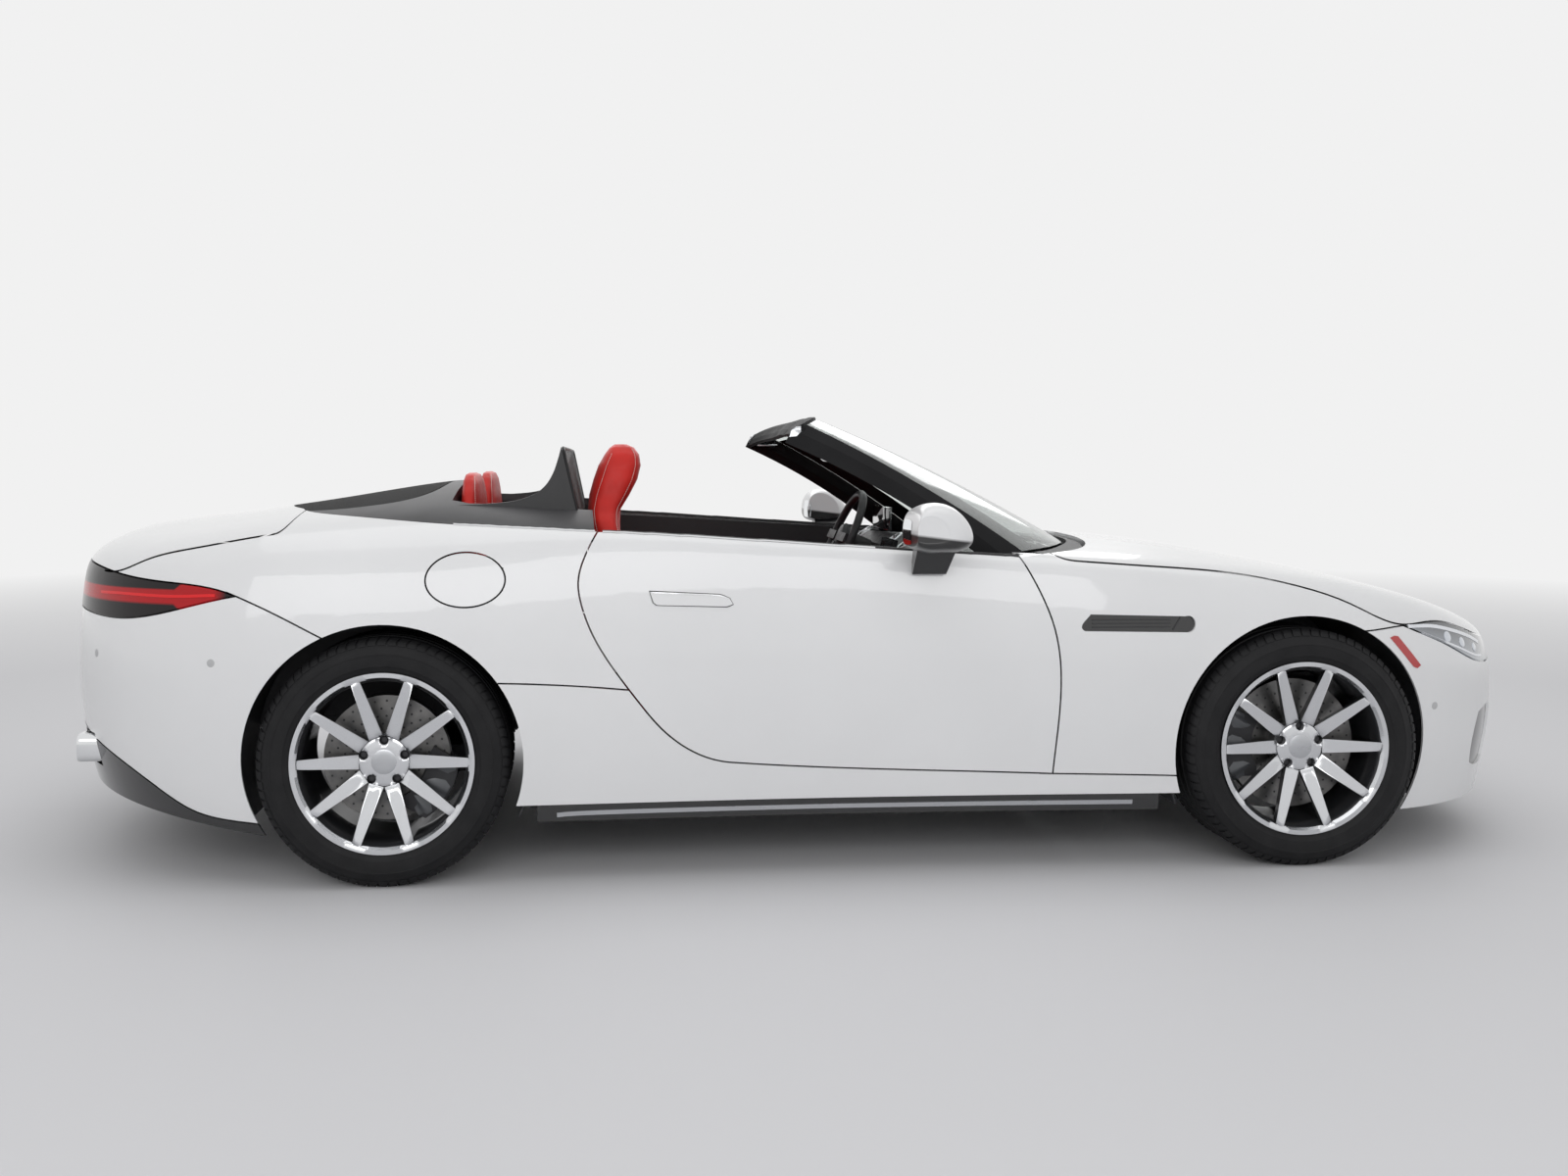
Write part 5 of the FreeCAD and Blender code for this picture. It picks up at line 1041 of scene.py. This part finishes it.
def skin_strip(work, path, side, width, lift, thick):
    """Raised strip that follows a path of (x, z) points over the skin."""
    rows = []
    for k, (x, z) in enumerate(path):
        before, after = path[max(k - 1, 0)], path[min(k + 1, len(path) - 1)]
        run = Vector((after[0] - before[0], after[1] - before[1])).normalized()
        across = (-run.y * width / 2, run.x * width / 2)
        first, normal = skin_point(x + across[0], z + across[1], side, lift)
        last, _ = skin_point(x - across[0], z - across[1], side, lift)
        rows.append([first, last, last - normal * thick, first - normal * thick])
    skin_rows(work, rows)


def smooth_path(points, count):
    """Catmull-Rom points through the given ones."""
    ends = [points[0]] + list(points) + [points[-1]]
    made = []
    spans = len(points) - 1
    for k in range(count + 1):
        share = k / count * spans
        i = min(int(share), spans - 1)
        t = share - i
        a, b, c, d = ends[i:i + 4]
        made.append(tuple(
            0.5 * (2 * q + (r - p) * t + (2 * p - 5 * q + 4 * r - s) * t * t + (3 * q - p - 3 * r + s) * t ** 3)
            for p, q, r, s in zip(a, b, c, d)
        ))
    return made


def belt_line(side, start, finish, count, node):
    """Points along the top edge of the door or quarter beside the cockpit."""
    made = []
    for k in range(count + 1):
        x = start + (finish - start) * k / count
        for step in range(160):
            point = cast(node, (x, side * 1.3, 1.075 - step * 0.0015), (0, -side, 0), 0.62)
            if point:
                made.append(point)
                break
    return made


def ribbon(work, points, side, wide, high, drop, out):
    """Strip of rectangular section along points, with the given width across the car and height."""
    rows = []
    for point in points:
        outer = point + Vector((0, side * out, -drop))
        rows.append([outer + Vector((0, -side * y, z)) for y, z in ((0, 0), (0, high), (wide, high), (wide, 0))])
    skin_rows(work, rows)


def disc_on_skin(work, x, z, side, radius, lift, thick, sides):
    """Round button that lies on the skin."""
    point, normal = skin_point(x, z, side)
    along = Vector((1, 0, 0)) - normal * normal.x
    along.normalize()
    up = normal.cross(along)
    skin_rows(work, [
        [point + normal * level + (along * c + up * s) * size for s, c in circle(sides)]
        for level, size in ((-thick, radius), (lift * 0.4, radius), (lift, radius * 0.86))
    ])


def buttons(work, places, side):
    for x, z, *rest in places:
        disc_on_skin(work, x, z, side, *rest)


def strips(work, lines, side):
    for path, *rest in lines:
        skin_strip(work, path, side, *rest)


CHROME = "exhaust_chrome"
LAMP_STRIP = (0.0016, 0.004)
HANDLE = [(-0.533, 0.834), (-0.527, 0.806), (-0.512, 0.796), (-0.310, 0.790), (-0.294, 0.797), (-0.302, 0.813),
          (-0.330, 0.824)]
HANDLE_LINE = smooth_path([(-0.528, 0.8320), (-0.430, 0.8275), (-0.335, 0.8215), (-0.308, 0.8110)], 24)
MARKER = [(1.678, 0.681), (1.700, 0.690), (1.785, 0.595), (1.766, 0.583)]
TAIL_LINE = smooth_path([(-2.140, 0.824), (-2.070, 0.8265), (-1.990, 0.826), (-1.910, 0.825), (-1.850, 0.826),
                         (-1.790, 0.829), (-1.755, 0.830)], 30)
DAY_LINE = smooth_path([(1.748, 0.712), (1.840, 0.708), (1.930, 0.690), (2.020, 0.664), (2.085, 0.638)], 30)
LOW_LINE = smooth_path([(1.800, 0.690), (1.880, 0.662), (1.960, 0.634), (2.040, 0.606), (2.090, 0.598)], 30)
SILL_LINE = smooth_path([(-0.800, 0.192), (-0.700, 0.196), (-0.300, 0.197), (0.300, 0.197), (0.900, 0.197)], 40)
# Place in x and z, radius, height, depth under the skin, sides
SENSORS = [(x, z, 0.0115, 0.0010, 0.003, 20) for x, z in ((-1.762, 0.643), (-2.150, 0.645), (1.844, 0.468))]
PROJECTORS = [(x, z, radius, 0.0016, 0.004, 28)
              for x, z, radius in ((1.905, 0.672, 0.017), (1.975, 0.650, 0.016), (2.045, 0.628, 0.014))]
# Path, width, height and depth of the slats and of the bar behind them
VENT_SLATS = [(smooth_path([(0.765, z), (0.880, z + 0.0005), (1.000, z)], 12), 0.0045, 0.0018, 0.004)
              for z in (0.7205, 0.7310, 0.7415)]
VENT_SLATS.append((smooth_path([(1.006, 0.712), (1.030, 0.748)], 6), 0.004, 0.0022, 0.004))
PLATE_BARS = (((-0.1600, 0.511), (0.1600, 0.5195)), ((-0.1600, 0.6705), (0.1600, 0.679)),
              ((-0.1600, 0.511), (-0.1520, 0.679)), ((0.1520, 0.511), (0.1600, 0.679)))


class OuterTrim(bpy.types.Operator):
    """Door handles, belt and sill strips, markers, sensors, lamp details and the blank number plate"""

    bl_idname = "roadster.outer_trim"
    bl_label = "Outer trim"

    def execute(self, context):
        # The handle's outline grown a little: the black plate inside it is painted shade for the gap round the flush
        # handle.
        middle = (sum(x for x, _ in HANDLE) / len(HANDLE), sum(z for _, z in HANDLE) / len(HANDLE))
        gap_shade_outline = [(middle[0] + (x - middle[0]) * 1.022, middle[1] + (z - middle[1]) * 1.14) for x, z in HANDLE]
        for side, name in SIDES:
            door = f"door_{name}"
            front = belt_line(side, -0.668, 0.560, 60, door)
            bright = [point for point in front if point.x < 0.15]
            rear = belt_line(side, -1.100, -0.690, 24, "quarter_panels")

            # Name, what makes it, its line, the maker's values, finish, body and slot
            for key, maker, line, values, finish, body, slot in (
                # Black plate under the handle, painted shade for the gap round it.
                ("handle_gap_shade", skin_patch, gap_shade_outline, (0.0006, 0.002, 24), "moulded_black", door, "black_plastic"),
                ("handle_bar", skin_patch, HANDLE, (0.0030, 0.004, 24), "white_body_paint", door, "body_paint"),
                ("handle_line", skin_strip, HANDLE_LINE, (0.0035, 0.0042, 0.003), "bright_chrome", door, CHROME),
                ("belt_seal", ribbon, front, (0.018, 0.0100, 0.0030, -0.0005), "moulded_black", door, "black_plastic"),
                ("belt_strip", ribbon, bright, (0.006, 0.0045, -0.0010, 0.0012), "bright_chrome", door, CHROME),
                ("quarter_strip", ribbon, rear, (0.006, 0.0045, -0.0005, 0.0012), "bright_chrome", "body", CHROME),
                ("day_light", skin_strip, DAY_LINE, (0.010, *LAMP_STRIP), "lamp_light_guide", "body", "lamp_clear"),
                ("low_light", skin_strip, LOW_LINE, (0.006, *LAMP_STRIP), "lamp_light_guide", "body", "lamp_clear"),
                ("tail_band", skin_strip, TAIL_LINE, (0.008, *LAMP_STRIP), "bright_red_lamp_strip", "body", "lamp_red"),
                ("side_marker", skin_patch, MARKER, (0.0022, 0.004, 8), "red_reflector", "body", "lamp_red"),
                ("parking_sensors", buttons, SENSORS, (), "sensor_grey", "body", "body_paint"),
                ("vent_slats", strips, VENT_SLATS, (), "moulded_black", "body", "black_gloss"),
                ("sill_strip", skin_strip, SILL_LINE, (0.013, 0.0025, 0.006), "satin_silver_trim", "body", CHROME),
            ):
                add(f"{key}_{name}", lambda work: maker(work, line, side, *values), finish, body, slot)
            add(f"projectors_{name}", lambda work: buttons(work, PROJECTORS, side), "projector_glass", "body",
                "lamp_clear", 30)
        self.plate()
        return {"FINISHED"}

    def plate(self):
        """Blank number plate in its frame on the tail."""
        reach = [
            cast(node, (-3, y, z), (1, 0, 0), 1.2)
            for y in (-0.15, -0.075, 0.0, 0.075, 0.15) for z in (0.52, 0.60, 0.66)
            for node in ("rear_bumper", "trunk_lid", "diffuser")
        ]
        back = min(point.x for point in reach if point)

        def panel(work):
            block(work, (back - 0.0012, -0.1525, 0.519), (back + 0.004, 0.1525, 0.671), 0.0016)

        def frame_bars(work):
            for low, high in PLATE_BARS:
                block(work, (back - 0.0030, *low), (back + 0.006, *high), 0.0015)

        add("number_plate", panel, "blank_plate", "body", "body_paint", 30)
        add("number_plate_frame", frame_bars, "moulded_black", "body", "black_plastic", 30)


class Mirrors(bpy.types.Operator):
    """Glass of the door mirrors"""

    bl_idname = "roadster.mirrors"
    bl_label = "Door mirrors"

    def execute(self, context):
        for side, name in SIDES:
            def glass(work):
                rows = []
                for k in range(13):
                    share = -1 + k / 6
                    y = side * (0.966 + 0.062 * share)
                    row = []
                    for n in range(9):
                        high = -1 + n / 4
                        z = 1.006 + 0.036 * high * (1 - 0.16 * share ** 4)
                        point = cast(f"mirror_{name}", (0.0, y, z), (1, 0, 0), 0.6)
                        row.append(Vector((point.x - 0.0012 if point else 0.21, y, z)))
                    rows.append(row)
                skin_rows(work, rows, across=False, caps=False)

            add(f"mirror_glass_{name}", glass, "mirror_glass", f"door_{name}")
        return {"FINISHED"}


# Wind deflector

FIN_TOP = smooth_path([(-0.793, 1.252), (-0.803, 1.215), (-0.818, 1.172), (-0.842, 1.134), (-0.880, 1.106),
                       (-0.940, 1.088), (-1.020, 1.080), (-1.112, 1.076)], 40)
DEFLECTOR_EDGE = [(-0.650, 1.034), (-0.655, 1.200), (-0.648, 1.240), (-0.625, 1.2485), (0.0, 1.2500), (0.625, 1.2485),
                  (0.648, 1.240), (0.655, 1.200), (0.650, 1.034)]


class Deflector(bpy.types.Operator):
    """Wind deflector: a fine mesh in a slim frame between two fins that sweep back over the deck"""

    bl_idname = "roadster.deflector"
    bl_label = "Wind deflector"

    def execute(self, context):
        def fins(work):
            for side in (-1, 1):
                rows = []
                for k, (x, z) in enumerate(FIN_TOP):
                    share = k / (len(FIN_TOP) - 1)
                    thin = 0.0035 + 0.0025 * min(1.0, share * 6)
                    low = Vector((-0.744 - 0.370 * share, 0, 1.040))
                    row = []
                    for offset, level in ((-thin, 0.0), (-thin, 0.985), (0.0, 1.0), (thin, 0.985), (thin, 0.0)):
                        spot = low.lerp(Vector((x, 0, z)), level)
                        row.append(Vector((spot.x, side * 0.657 + offset, spot.z)))
                    rows.append(row)
                skin_rows(work, rows)

        def screen(work):
            rows = []
            for share in (0.0, 0.5, 1.0):
                x, z = -0.7415 - 0.0465 * share, 1.030 + 0.220 * share
                rows.append([(x + dx, y, z) for dx, y in ((-0.0015, -0.650), (-0.0015, 0.650), (0.0015, 0.650),
                                                          (0.0015, -0.650))])
            skin_rows(work, rows)

        def rim(work):
            tube(work, [Vector((-0.7415 - 0.0465 * (z - 1.030) / 0.220, y, z)) for y, z in DEFLECTOR_EDGE], 0.0055, 8)

        fin = add("deflector_fins", fins, "deflector_grain", "body", "dark_trim")
        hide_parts("wind_deflector")
        add("deflector_screen", screen, "deflector_mesh", "body", "mesh", 30)
        add("deflector_frame", rim, "satin_black_lacquer", "body", "black_plastic", 60)
        return {"FINISHED"}


# Cabin

WHEEL_CENTRE = Vector((0.250, SEAT_Y, 0.915))
WHEEL_TILT = math.radians(24)
WHEEL_RADIUS = 0.185
RIM_SEAM = 0.170
BOSS_SECTION = ((0.0005, 0.0225), (0.030, 0.0215), (0.048, 0.0170), (0.0565, 0.0080), (0.0575, -0.002))
DASH_VENTS = [(0.3935, y, 0.9225) for y in (-0.655, -0.115, 0.115, 0.655)]
DASH_SLOPE = Vector((-0.565, 0.0, 0.825))
SPEAKER = (0.330, 0.500)
SCREEN_NORMAL = Vector((0.454, 0, 0.891))
LATCH_PLATE = [(-0.088, 1.284), (-0.083, 1.304), (-0.067, 1.316), (-0.052, 1.318), (-0.052, 1.300), (-0.066, 1.286)]


def wheel_frame():
    """Matrix from the steering wheel's own axes (across, up, towards the driver) to the car's."""
    toward = Vector((-math.cos(WHEEL_TILT), 0, math.sin(WHEEL_TILT)))
    made = Matrix((-ACROSS, toward.cross(-ACROSS), toward)).transposed().to_4x4()
    made.translation = WHEEL_CENTRE
    return made


def vent_ring(work, centre, normal, radius, fat, steps=32, sides=8):
    """Round bezel that faces along a direction."""
    normal = Vector(normal).normalized()
    up = normal.cross(ACROSS).normalized()
    rows = []
    for s, c in circle(steps):
        ray = ACROSS * c + up * s
        rows.append([Vector(centre) + ray * (radius + fat * q) + normal * (fat * p) for p, q in circle(sides)])
    skin_rows(work, rows, along=True, caps=False)


def upright_plate(work, low, high, front, back, levels):
    """Thin plate between two places across the car, through (x, z) levels."""
    skin_rows(work, [[(x + front, low, z), (x + front, high, z), (x + back, high, z), (x + back, low, z)]
                     for x, z in levels])


class Cabin(bpy.types.Operator):
    """Steering wheel trim, dashboard vents, blank displays, console and door trim, mats and the inner mirror"""

    bl_idname = "roadster.cabin"
    bl_label = "Cabin trim"

    def execute(self, context):
        self.steering()
        self.dashboard()
        self.doors()
        self.small_parts()
        return {"FINISHED"}

    def steering(self):
        place = wheel_frame()

        def boss(work):
            rows = [[(r * s, r * c, h) for r, h in BOSS_SECTION] for s, c in circle(40)]
            skin_rows(work, rows, across=False, along=True, caps=False)
            bmesh.ops.transform(work, matrix=place, verts=work.verts)

        def spoke_trims(work):
            for turn in (0, math.pi, -math.pi / 2):
                start = len(work.verts)
                block(work, (0.062, -0.0065, -0.0052), (WHEEL_RADIUS - 0.020, 0.0065, -0.0022), 0.0012)
                work.verts.ensure_lookup_table()
                spin = Matrix.Rotation(turn, 3, "Z")
                bmesh.ops.rotate(work, verts=work.verts[start:], cent=(0, 0, 0), matrix=spin)
            bmesh.ops.transform(work, matrix=place, verts=work.verts)

        add("steering_boss", boss, "black_leather", "steering_wheel", "black_leather", 50)
        add("steering_spoke_trims", spoke_trims, "satin_silver_trim", "steering_wheel")
        turns = [TURN * k / 90 for k in range(91)]
        ring = [place @ Vector((RIM_SEAM * math.sin(turn), RIM_SEAM * math.cos(turn), 0.0005)) for turn in turns]
        stitches("steering_stitching", [ring], "steering_wheel", "black_leather", "dark_thread")

    def dashboard(self):
        slope = DASH_SLOPE.normalized()
        up = slope.cross(ACROSS)

        def rings(work):
            for centre in DASH_VENTS:
                vent_ring(work, centre, DASH_SLOPE, 0.037, 0.0048)
                vent_ring(work, centre, DASH_SLOPE, 0.013, 0.0030, 20, 6)

        def blades(work):
            for centre in DASH_VENTS:
                middle = Vector(centre) + slope * 0.0012
                for k in range(8):
                    turn = TURN * k / 8
                    ray, edge = (ACROSS * math.cos(a) + up * math.sin(a) for a in (turn, turn + 0.35))
                    corners = ((ray, 0.014, 0), (ray, 0.034, 0), (edge, 0.034, 0.003), (edge, 0.014, 0.003))
                    work.faces.new([work.verts.new(middle + way * r + slope * h) for way, r, h in corners])

        def screens(work):
            upright_plate(work, -0.105, 0.105, 0, 0.014, ((0.302, 0.705), (0.352, 0.930)))
            block(work, (0.400, SEAT_Y - 0.150, 0.948), (0.412, SEAT_Y + 0.150, 1.035), 0.003)

        def strip(work):
            for low, high in ((-0.745, -0.120), (0.120, 0.745)):
                upright_plate(work, low, high, -0.003, 0.006, ((0.3470, 0.846), (0.3497, 0.858)))

        add("dash_vent_rings", rings, "satin_silver_trim", "body", "exhaust_chrome", 60)
        add("dash_vent_blades", blades, "gloss_black_lacquer", "body", "black_gloss", 0)
        add("blank_displays", screens, "display_glass", "body", "black_gloss", 30)
        add("dash_strip", strip, "satin_silver_trim", "body", "exhaust_chrome", 30)

    def doors(self):
        x, z = SPEAKER
        for side, name in SIDES:
            body = f"door_{name}"

            def pull(work):
                block(work, (0.020, side * 0.7985, 0.775), (0.135, side * 0.7925, 0.792), 0.003)
                vent_ring(work, (x, side * 0.7985, z), (0, -side, 0.0001), 0.070, 0.004, 36, 6)

            def grille(work):
                radii = (0.0005, 0.066)
                rows = [[(x + r * s, side * 0.7982, z + r * c) for s, c in circle(36)] for r in radii]
                skin_rows(work, rows, caps=False)

            add(f"door_pull_{name}", pull, "satin_silver_trim", body, "exhaust_chrome", 30)
            add(f"speaker_grille_{name}", grille, "speaker_mesh", body, "mesh", 0)
            line = [(-0.560 + 0.011 * k, side * 0.7990, 0.847) for k in range(96)]
            stitches(f"door_stitching_{name}", [line], body, "red_leather")

    def small_parts(self):
        """Floor mats, inner mirror, black band under the sides of the screen (frit and painted reflection of the dark
        dashboard), latches of the header and lids of the console.
        """
        def mats(work):
            for side in (-1, 1):
                block(work, (0.020, side * 0.37 - 0.190, 0.2235), (0.520, side * 0.37 + 0.190, 0.2295), 0.002)

        def inner_mirror(work):
            rows = []
            for k in range(17):
                share = -1 + k / 8
                size = max(0.06, (1 - share ** 4)) ** 0.5
                rows.append([
                    (0.128 + 0.016 * c * size, 0.118 * share, 1.236 + 0.030 * s * size) for s, c in circle(16)
                ])
            skin_rows(work, rows)
            tube(work, [Vector((0.140, 0, 1.240)), Vector((0.165, 0, 1.268)), Vector((0.178, 0, 1.290))], 0.009, 10)

        # Black band 8 cm wide under the glass along both side edges: partly the screen's black frit, partly painted
        # reflection of the dark dashboard seen in the glass at a grazing angle.
        def border(work):
            for side in (-1, 1):
                rows = []
                for k in range(25):
                    share = 0.02 + 0.94 * k / 24
                    row = []
                    for n in range(7):
                        inward = 0.080 * n / 6
                        start = (-0.030 + 0.640 * share + 0.45 * inward, side * (0.585 + 0.160 * share - inward),
                                 1.20 - 0.43 * share)
                        point = cast("windscreen_glass", start, SCREEN_NORMAL, 0.5)
                        row.append(point and point - SCREEN_NORMAL * 0.003)
                    first = row.count(None)
                    if first < 6:
                        rows.append([row[max(n, first)] for n in range(7)])
                skin_rows(work, [row for row in rows if all(row)], across=False, caps=False)

        def latches(work):
            for side in (-1, 1):
                skin_patch(work, LATCH_PLATE, side, 0.0020, 0.006, 8, ("windscreen_frame",))
                block(work, (-0.058, side * 0.565 - 0.022, 1.2690), (0.020, side * 0.565 + 0.022, 1.2755), 0.002)

        def console_trim(work):
            block(work, (-0.180, -0.075, 0.6405), (0.020, 0.075, 0.6440), 0.0015)
            block(work, (0.110, -0.070, 0.6545), (0.230, 0.070, 0.6590), 0.0015)

        add("floor_mats", mats, "black_carpet", "body", "black_leather", 30)
        add("inner_mirror", inner_mirror, "gloss_black_lacquer", "body", "black_gloss")
        add("screen_frit_and_reflection", border, "seal_black", "body", "black_gloss", 0)
        add("header_latches", latches, "satin_silver_trim", "body", "exhaust_chrome", 30)
        add("console_lids", console_trim, "gloss_black_lacquer", "body", "black_gloss", 30)


# Exhaust tips

TIP_END = -2.236
TIP_HEIGHT = 0.348
TIP_HALF = 0.043
TIP_MIDDLES = (0.500, 0.588)
# Distance from the tip's end, and share of its section
PIPE = ((0.150, 0.90), (0.149, 0.98), (0.010, 1.0), (0.004, 1.0), (0.0, 0.985), (0.001, 0.955), (0.006, 0.94),
        (0.060, 0.90), (0.062, 0.02))
# The bore is a near-black liner that closes the pipe about 5 cm in: soot, and painted shade in place of the pipe's dark
# inside.
BORE = ((0.022, 0.925), (0.050, 0.90), (0.052, 0.02))


class Tips(bpy.types.Operator):
    """Exhaust tips: bright pipes in pairs, with rolled rims and a dark bore"""

    bl_idname = "roadster.exhaust_tips"
    bl_label = "Exhaust tips"

    def execute(self, context):
        def lengths(section):
            def build(work):
                for side in (-1, 1):
                    for middle in TIP_MIDDLES:
                        skin_rows(work, [
                            [(TIP_END + x, side * (middle + squared(c, 0.55) * TIP_HALF * scale),
                              TIP_HEIGHT + squared(s, 0.55) * TIP_HALF * scale) for s, c in circle(32)]
                            for x, scale in section
                        ], caps=False)

            return build

        made = add("exhaust_tip_rims", lengths(PIPE), "bright_chrome", "body", "exhaust_chrome", 50)
        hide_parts("exhaust_tips")
        add("exhaust_bores", lengths(BORE), "soot_and_shade_black", "body", "black_plastic", 50)
        return {"FINISHED"}


# Stage

WORLD_LIGHT, WORLD_SEEN = 0.52, 0.88
FADE_START, FADE_RATE = 5.0, 0.14
AIM = Vector((0, 0, 0.6))
# Name, place, size, energy
LAMPS = (
    ("overhead", (0.0, -0.5, 5.0), (7.0, 4.0), 60),
    ("side", (-1.0, -6.5, 3.2), (8.0, 2.4), 115),
    ("rear", (0.5, 6.0, 3.5), (7.0, 2.5), 80),
)
CAMERA_PLACE = (-0.6589, -4.7699, 1.2068)
CAMERA_TURN = (math.radians(90) - 0.02725191, 0.0, -0.07721145)
CAMERA_SHIFT = (0.04727, -0.05710)


def seen_rays(tree):
    """1 for rays from the camera, through glass and off shiny faces, 0 for the others."""
    path = tree.nodes.new("ShaderNodeLightPath")
    first = path.outputs["Is Camera Ray"]
    for kind in ("Is Transmission Ray", "Is Glossy Ray"):
        seen = tree.nodes.new("ShaderNodeMath")
        seen.operation = "MAXIMUM"
        tree.links.new(first, seen.inputs[0])
        tree.links.new(path.outputs[kind], seen.inputs[1])
        first = seen.outputs[0]
    return first


class Stage(bpy.types.Operator):
    """Floor, light and camera"""

    bl_idname = "roadster.stage"
    bl_label = "Stage"

    def execute(self, context):
        settings = context.scene.roadster_stage
        scene = context.scene
        scene.view_settings.view_transform = "Standard"
        half = settings.floor_size / 2
        mesh = bpy.data.meshes.new("floor")
        mesh.from_pydata([(-half, -half, 0), (half, -half, 0), (half, half, 0), (-half, half, 0)], [], [(0, 1, 2, 3)])
        floor = new_object("floor", mesh)
        mesh.materials.append(self.floor_finish(settings))
        self.light(scene)
        self.camera(scene, settings)
        return {"FINISHED"}

    def floor_finish(self, settings):
        """Pale floor that fades into the background a few metres from the car."""
        finish = Finish("studio_floor", tuple(settings.floor_colour), 0.6)
        across, along, _ = finish.axes()
        squares = [finish.math("MULTIPLY", axis, axis) for axis in (across, along)]
        reach = finish.math("SQRT", finish.math("ADD", *squares))
        far = finish.math("MULTIPLY", finish.math("SUBTRACT", reach, FADE_START), FADE_RATE)
        fade = finish.ramp(far, (0.0, 0.0), (1.0, 1.0))
        glow, blend = finish.nodes.new("ShaderNodeEmission"), finish.nodes.new("ShaderNodeMixShader")
        glow.inputs["Color"].default_value = (*settings.background, 1)
        finish.links.new(finish.math("MULTIPLY", fade, seen_rays(finish.tree)), blend.inputs[0])
        finish.links.new(finish.shader.outputs[0], blend.inputs[1])
        finish.links.new(glow.outputs[0], blend.inputs[2])
        finish.links.new(blend.outputs[0], finish.nodes["Material Output"].inputs["Surface"])
        return finish.material

    def light(self, scene):
        world = bpy.data.worlds.new("studio")
        world.use_nodes = True
        scene.world = world
        nodes, links = world.node_tree.nodes, world.node_tree.links
        background = nodes["Background"]
        background.inputs["Color"].default_value = (1, 1, 1, 1)
        level = nodes.new("ShaderNodeMix")
        level.inputs[2].default_value = WORLD_LIGHT
        level.inputs[3].default_value = WORLD_SEEN
        links.new(seen_rays(world.node_tree), level.inputs[0])
        links.new(level.outputs[0], background.inputs["Strength"])
        for name, place, size, energy in LAMPS:
            lamp = bpy.data.lights.new(name, "AREA")
            lamp.shape = "RECTANGLE"
            lamp.size, lamp.size_y = size
            lamp.energy = energy
            obj = new_object(name, lamp)
            obj.location = place
            obj.rotation_euler = (AIM - Vector(place)).to_track_quat("-Z", "Y").to_euler()

    def camera(self, scene, settings):
        data = bpy.data.cameras.new("camera")
        data.sensor_width = 36.0
        data.lens = settings.lens
        data.shift_x, data.shift_y = CAMERA_SHIFT
        data.clip_end = 200
        camera = new_object("camera", data)
        camera.location = CAMERA_PLACE
        camera.rotation_euler = CAMERA_TURN
        scene.camera = camera


OPERATORS = (BodyPanels, PlainNodes, Tyres, Rims, Seats, OuterTrim, Mirrors, Deflector, Cabin, Tips, Stage)
SETTINGS = {"roadster_wheels": WheelSettings, "roadster_stage": StageSettings}


class RoadsterPanel(bpy.types.Panel):
    """Lists the operators that dress the roadster"""

    bl_idname = "VIEW3D_PT_roadster"
    bl_label = "Roadster"
    bl_space_type = "VIEW_3D"
    bl_region_type = "UI"
    bl_category = "Roadster"

    def draw(self, context):
        for name, group in SETTINGS.items():
            settings = getattr(context.scene, name)
            for key in group.__annotations__:
                self.layout.prop(settings, key)
        for operator in OPERATORS:
            self.layout.operator(operator.bl_idname)


def register():
    for name, group in SETTINGS.items():
        bpy.utils.register_class(group)
        setattr(bpy.types.Scene, name, bpy.props.PointerProperty(type=group))
    for operator in OPERATORS:
        bpy.utils.register_class(operator)
    bpy.utils.register_class(RoadsterPanel)


def unregister():
    bpy.utils.unregister_class(RoadsterPanel)
    for operator in reversed(OPERATORS):
        bpy.utils.unregister_class(operator)
    for name, group in SETTINGS.items():
        delattr(bpy.types.Scene, name)
        bpy.utils.unregister_class(group)


def main():
    register()
    for operator in OPERATORS:
        group, name = operator.bl_idname.split(".")
        getattr(getattr(bpy.ops, group), name)()


if __name__ == "__main__":
    main()
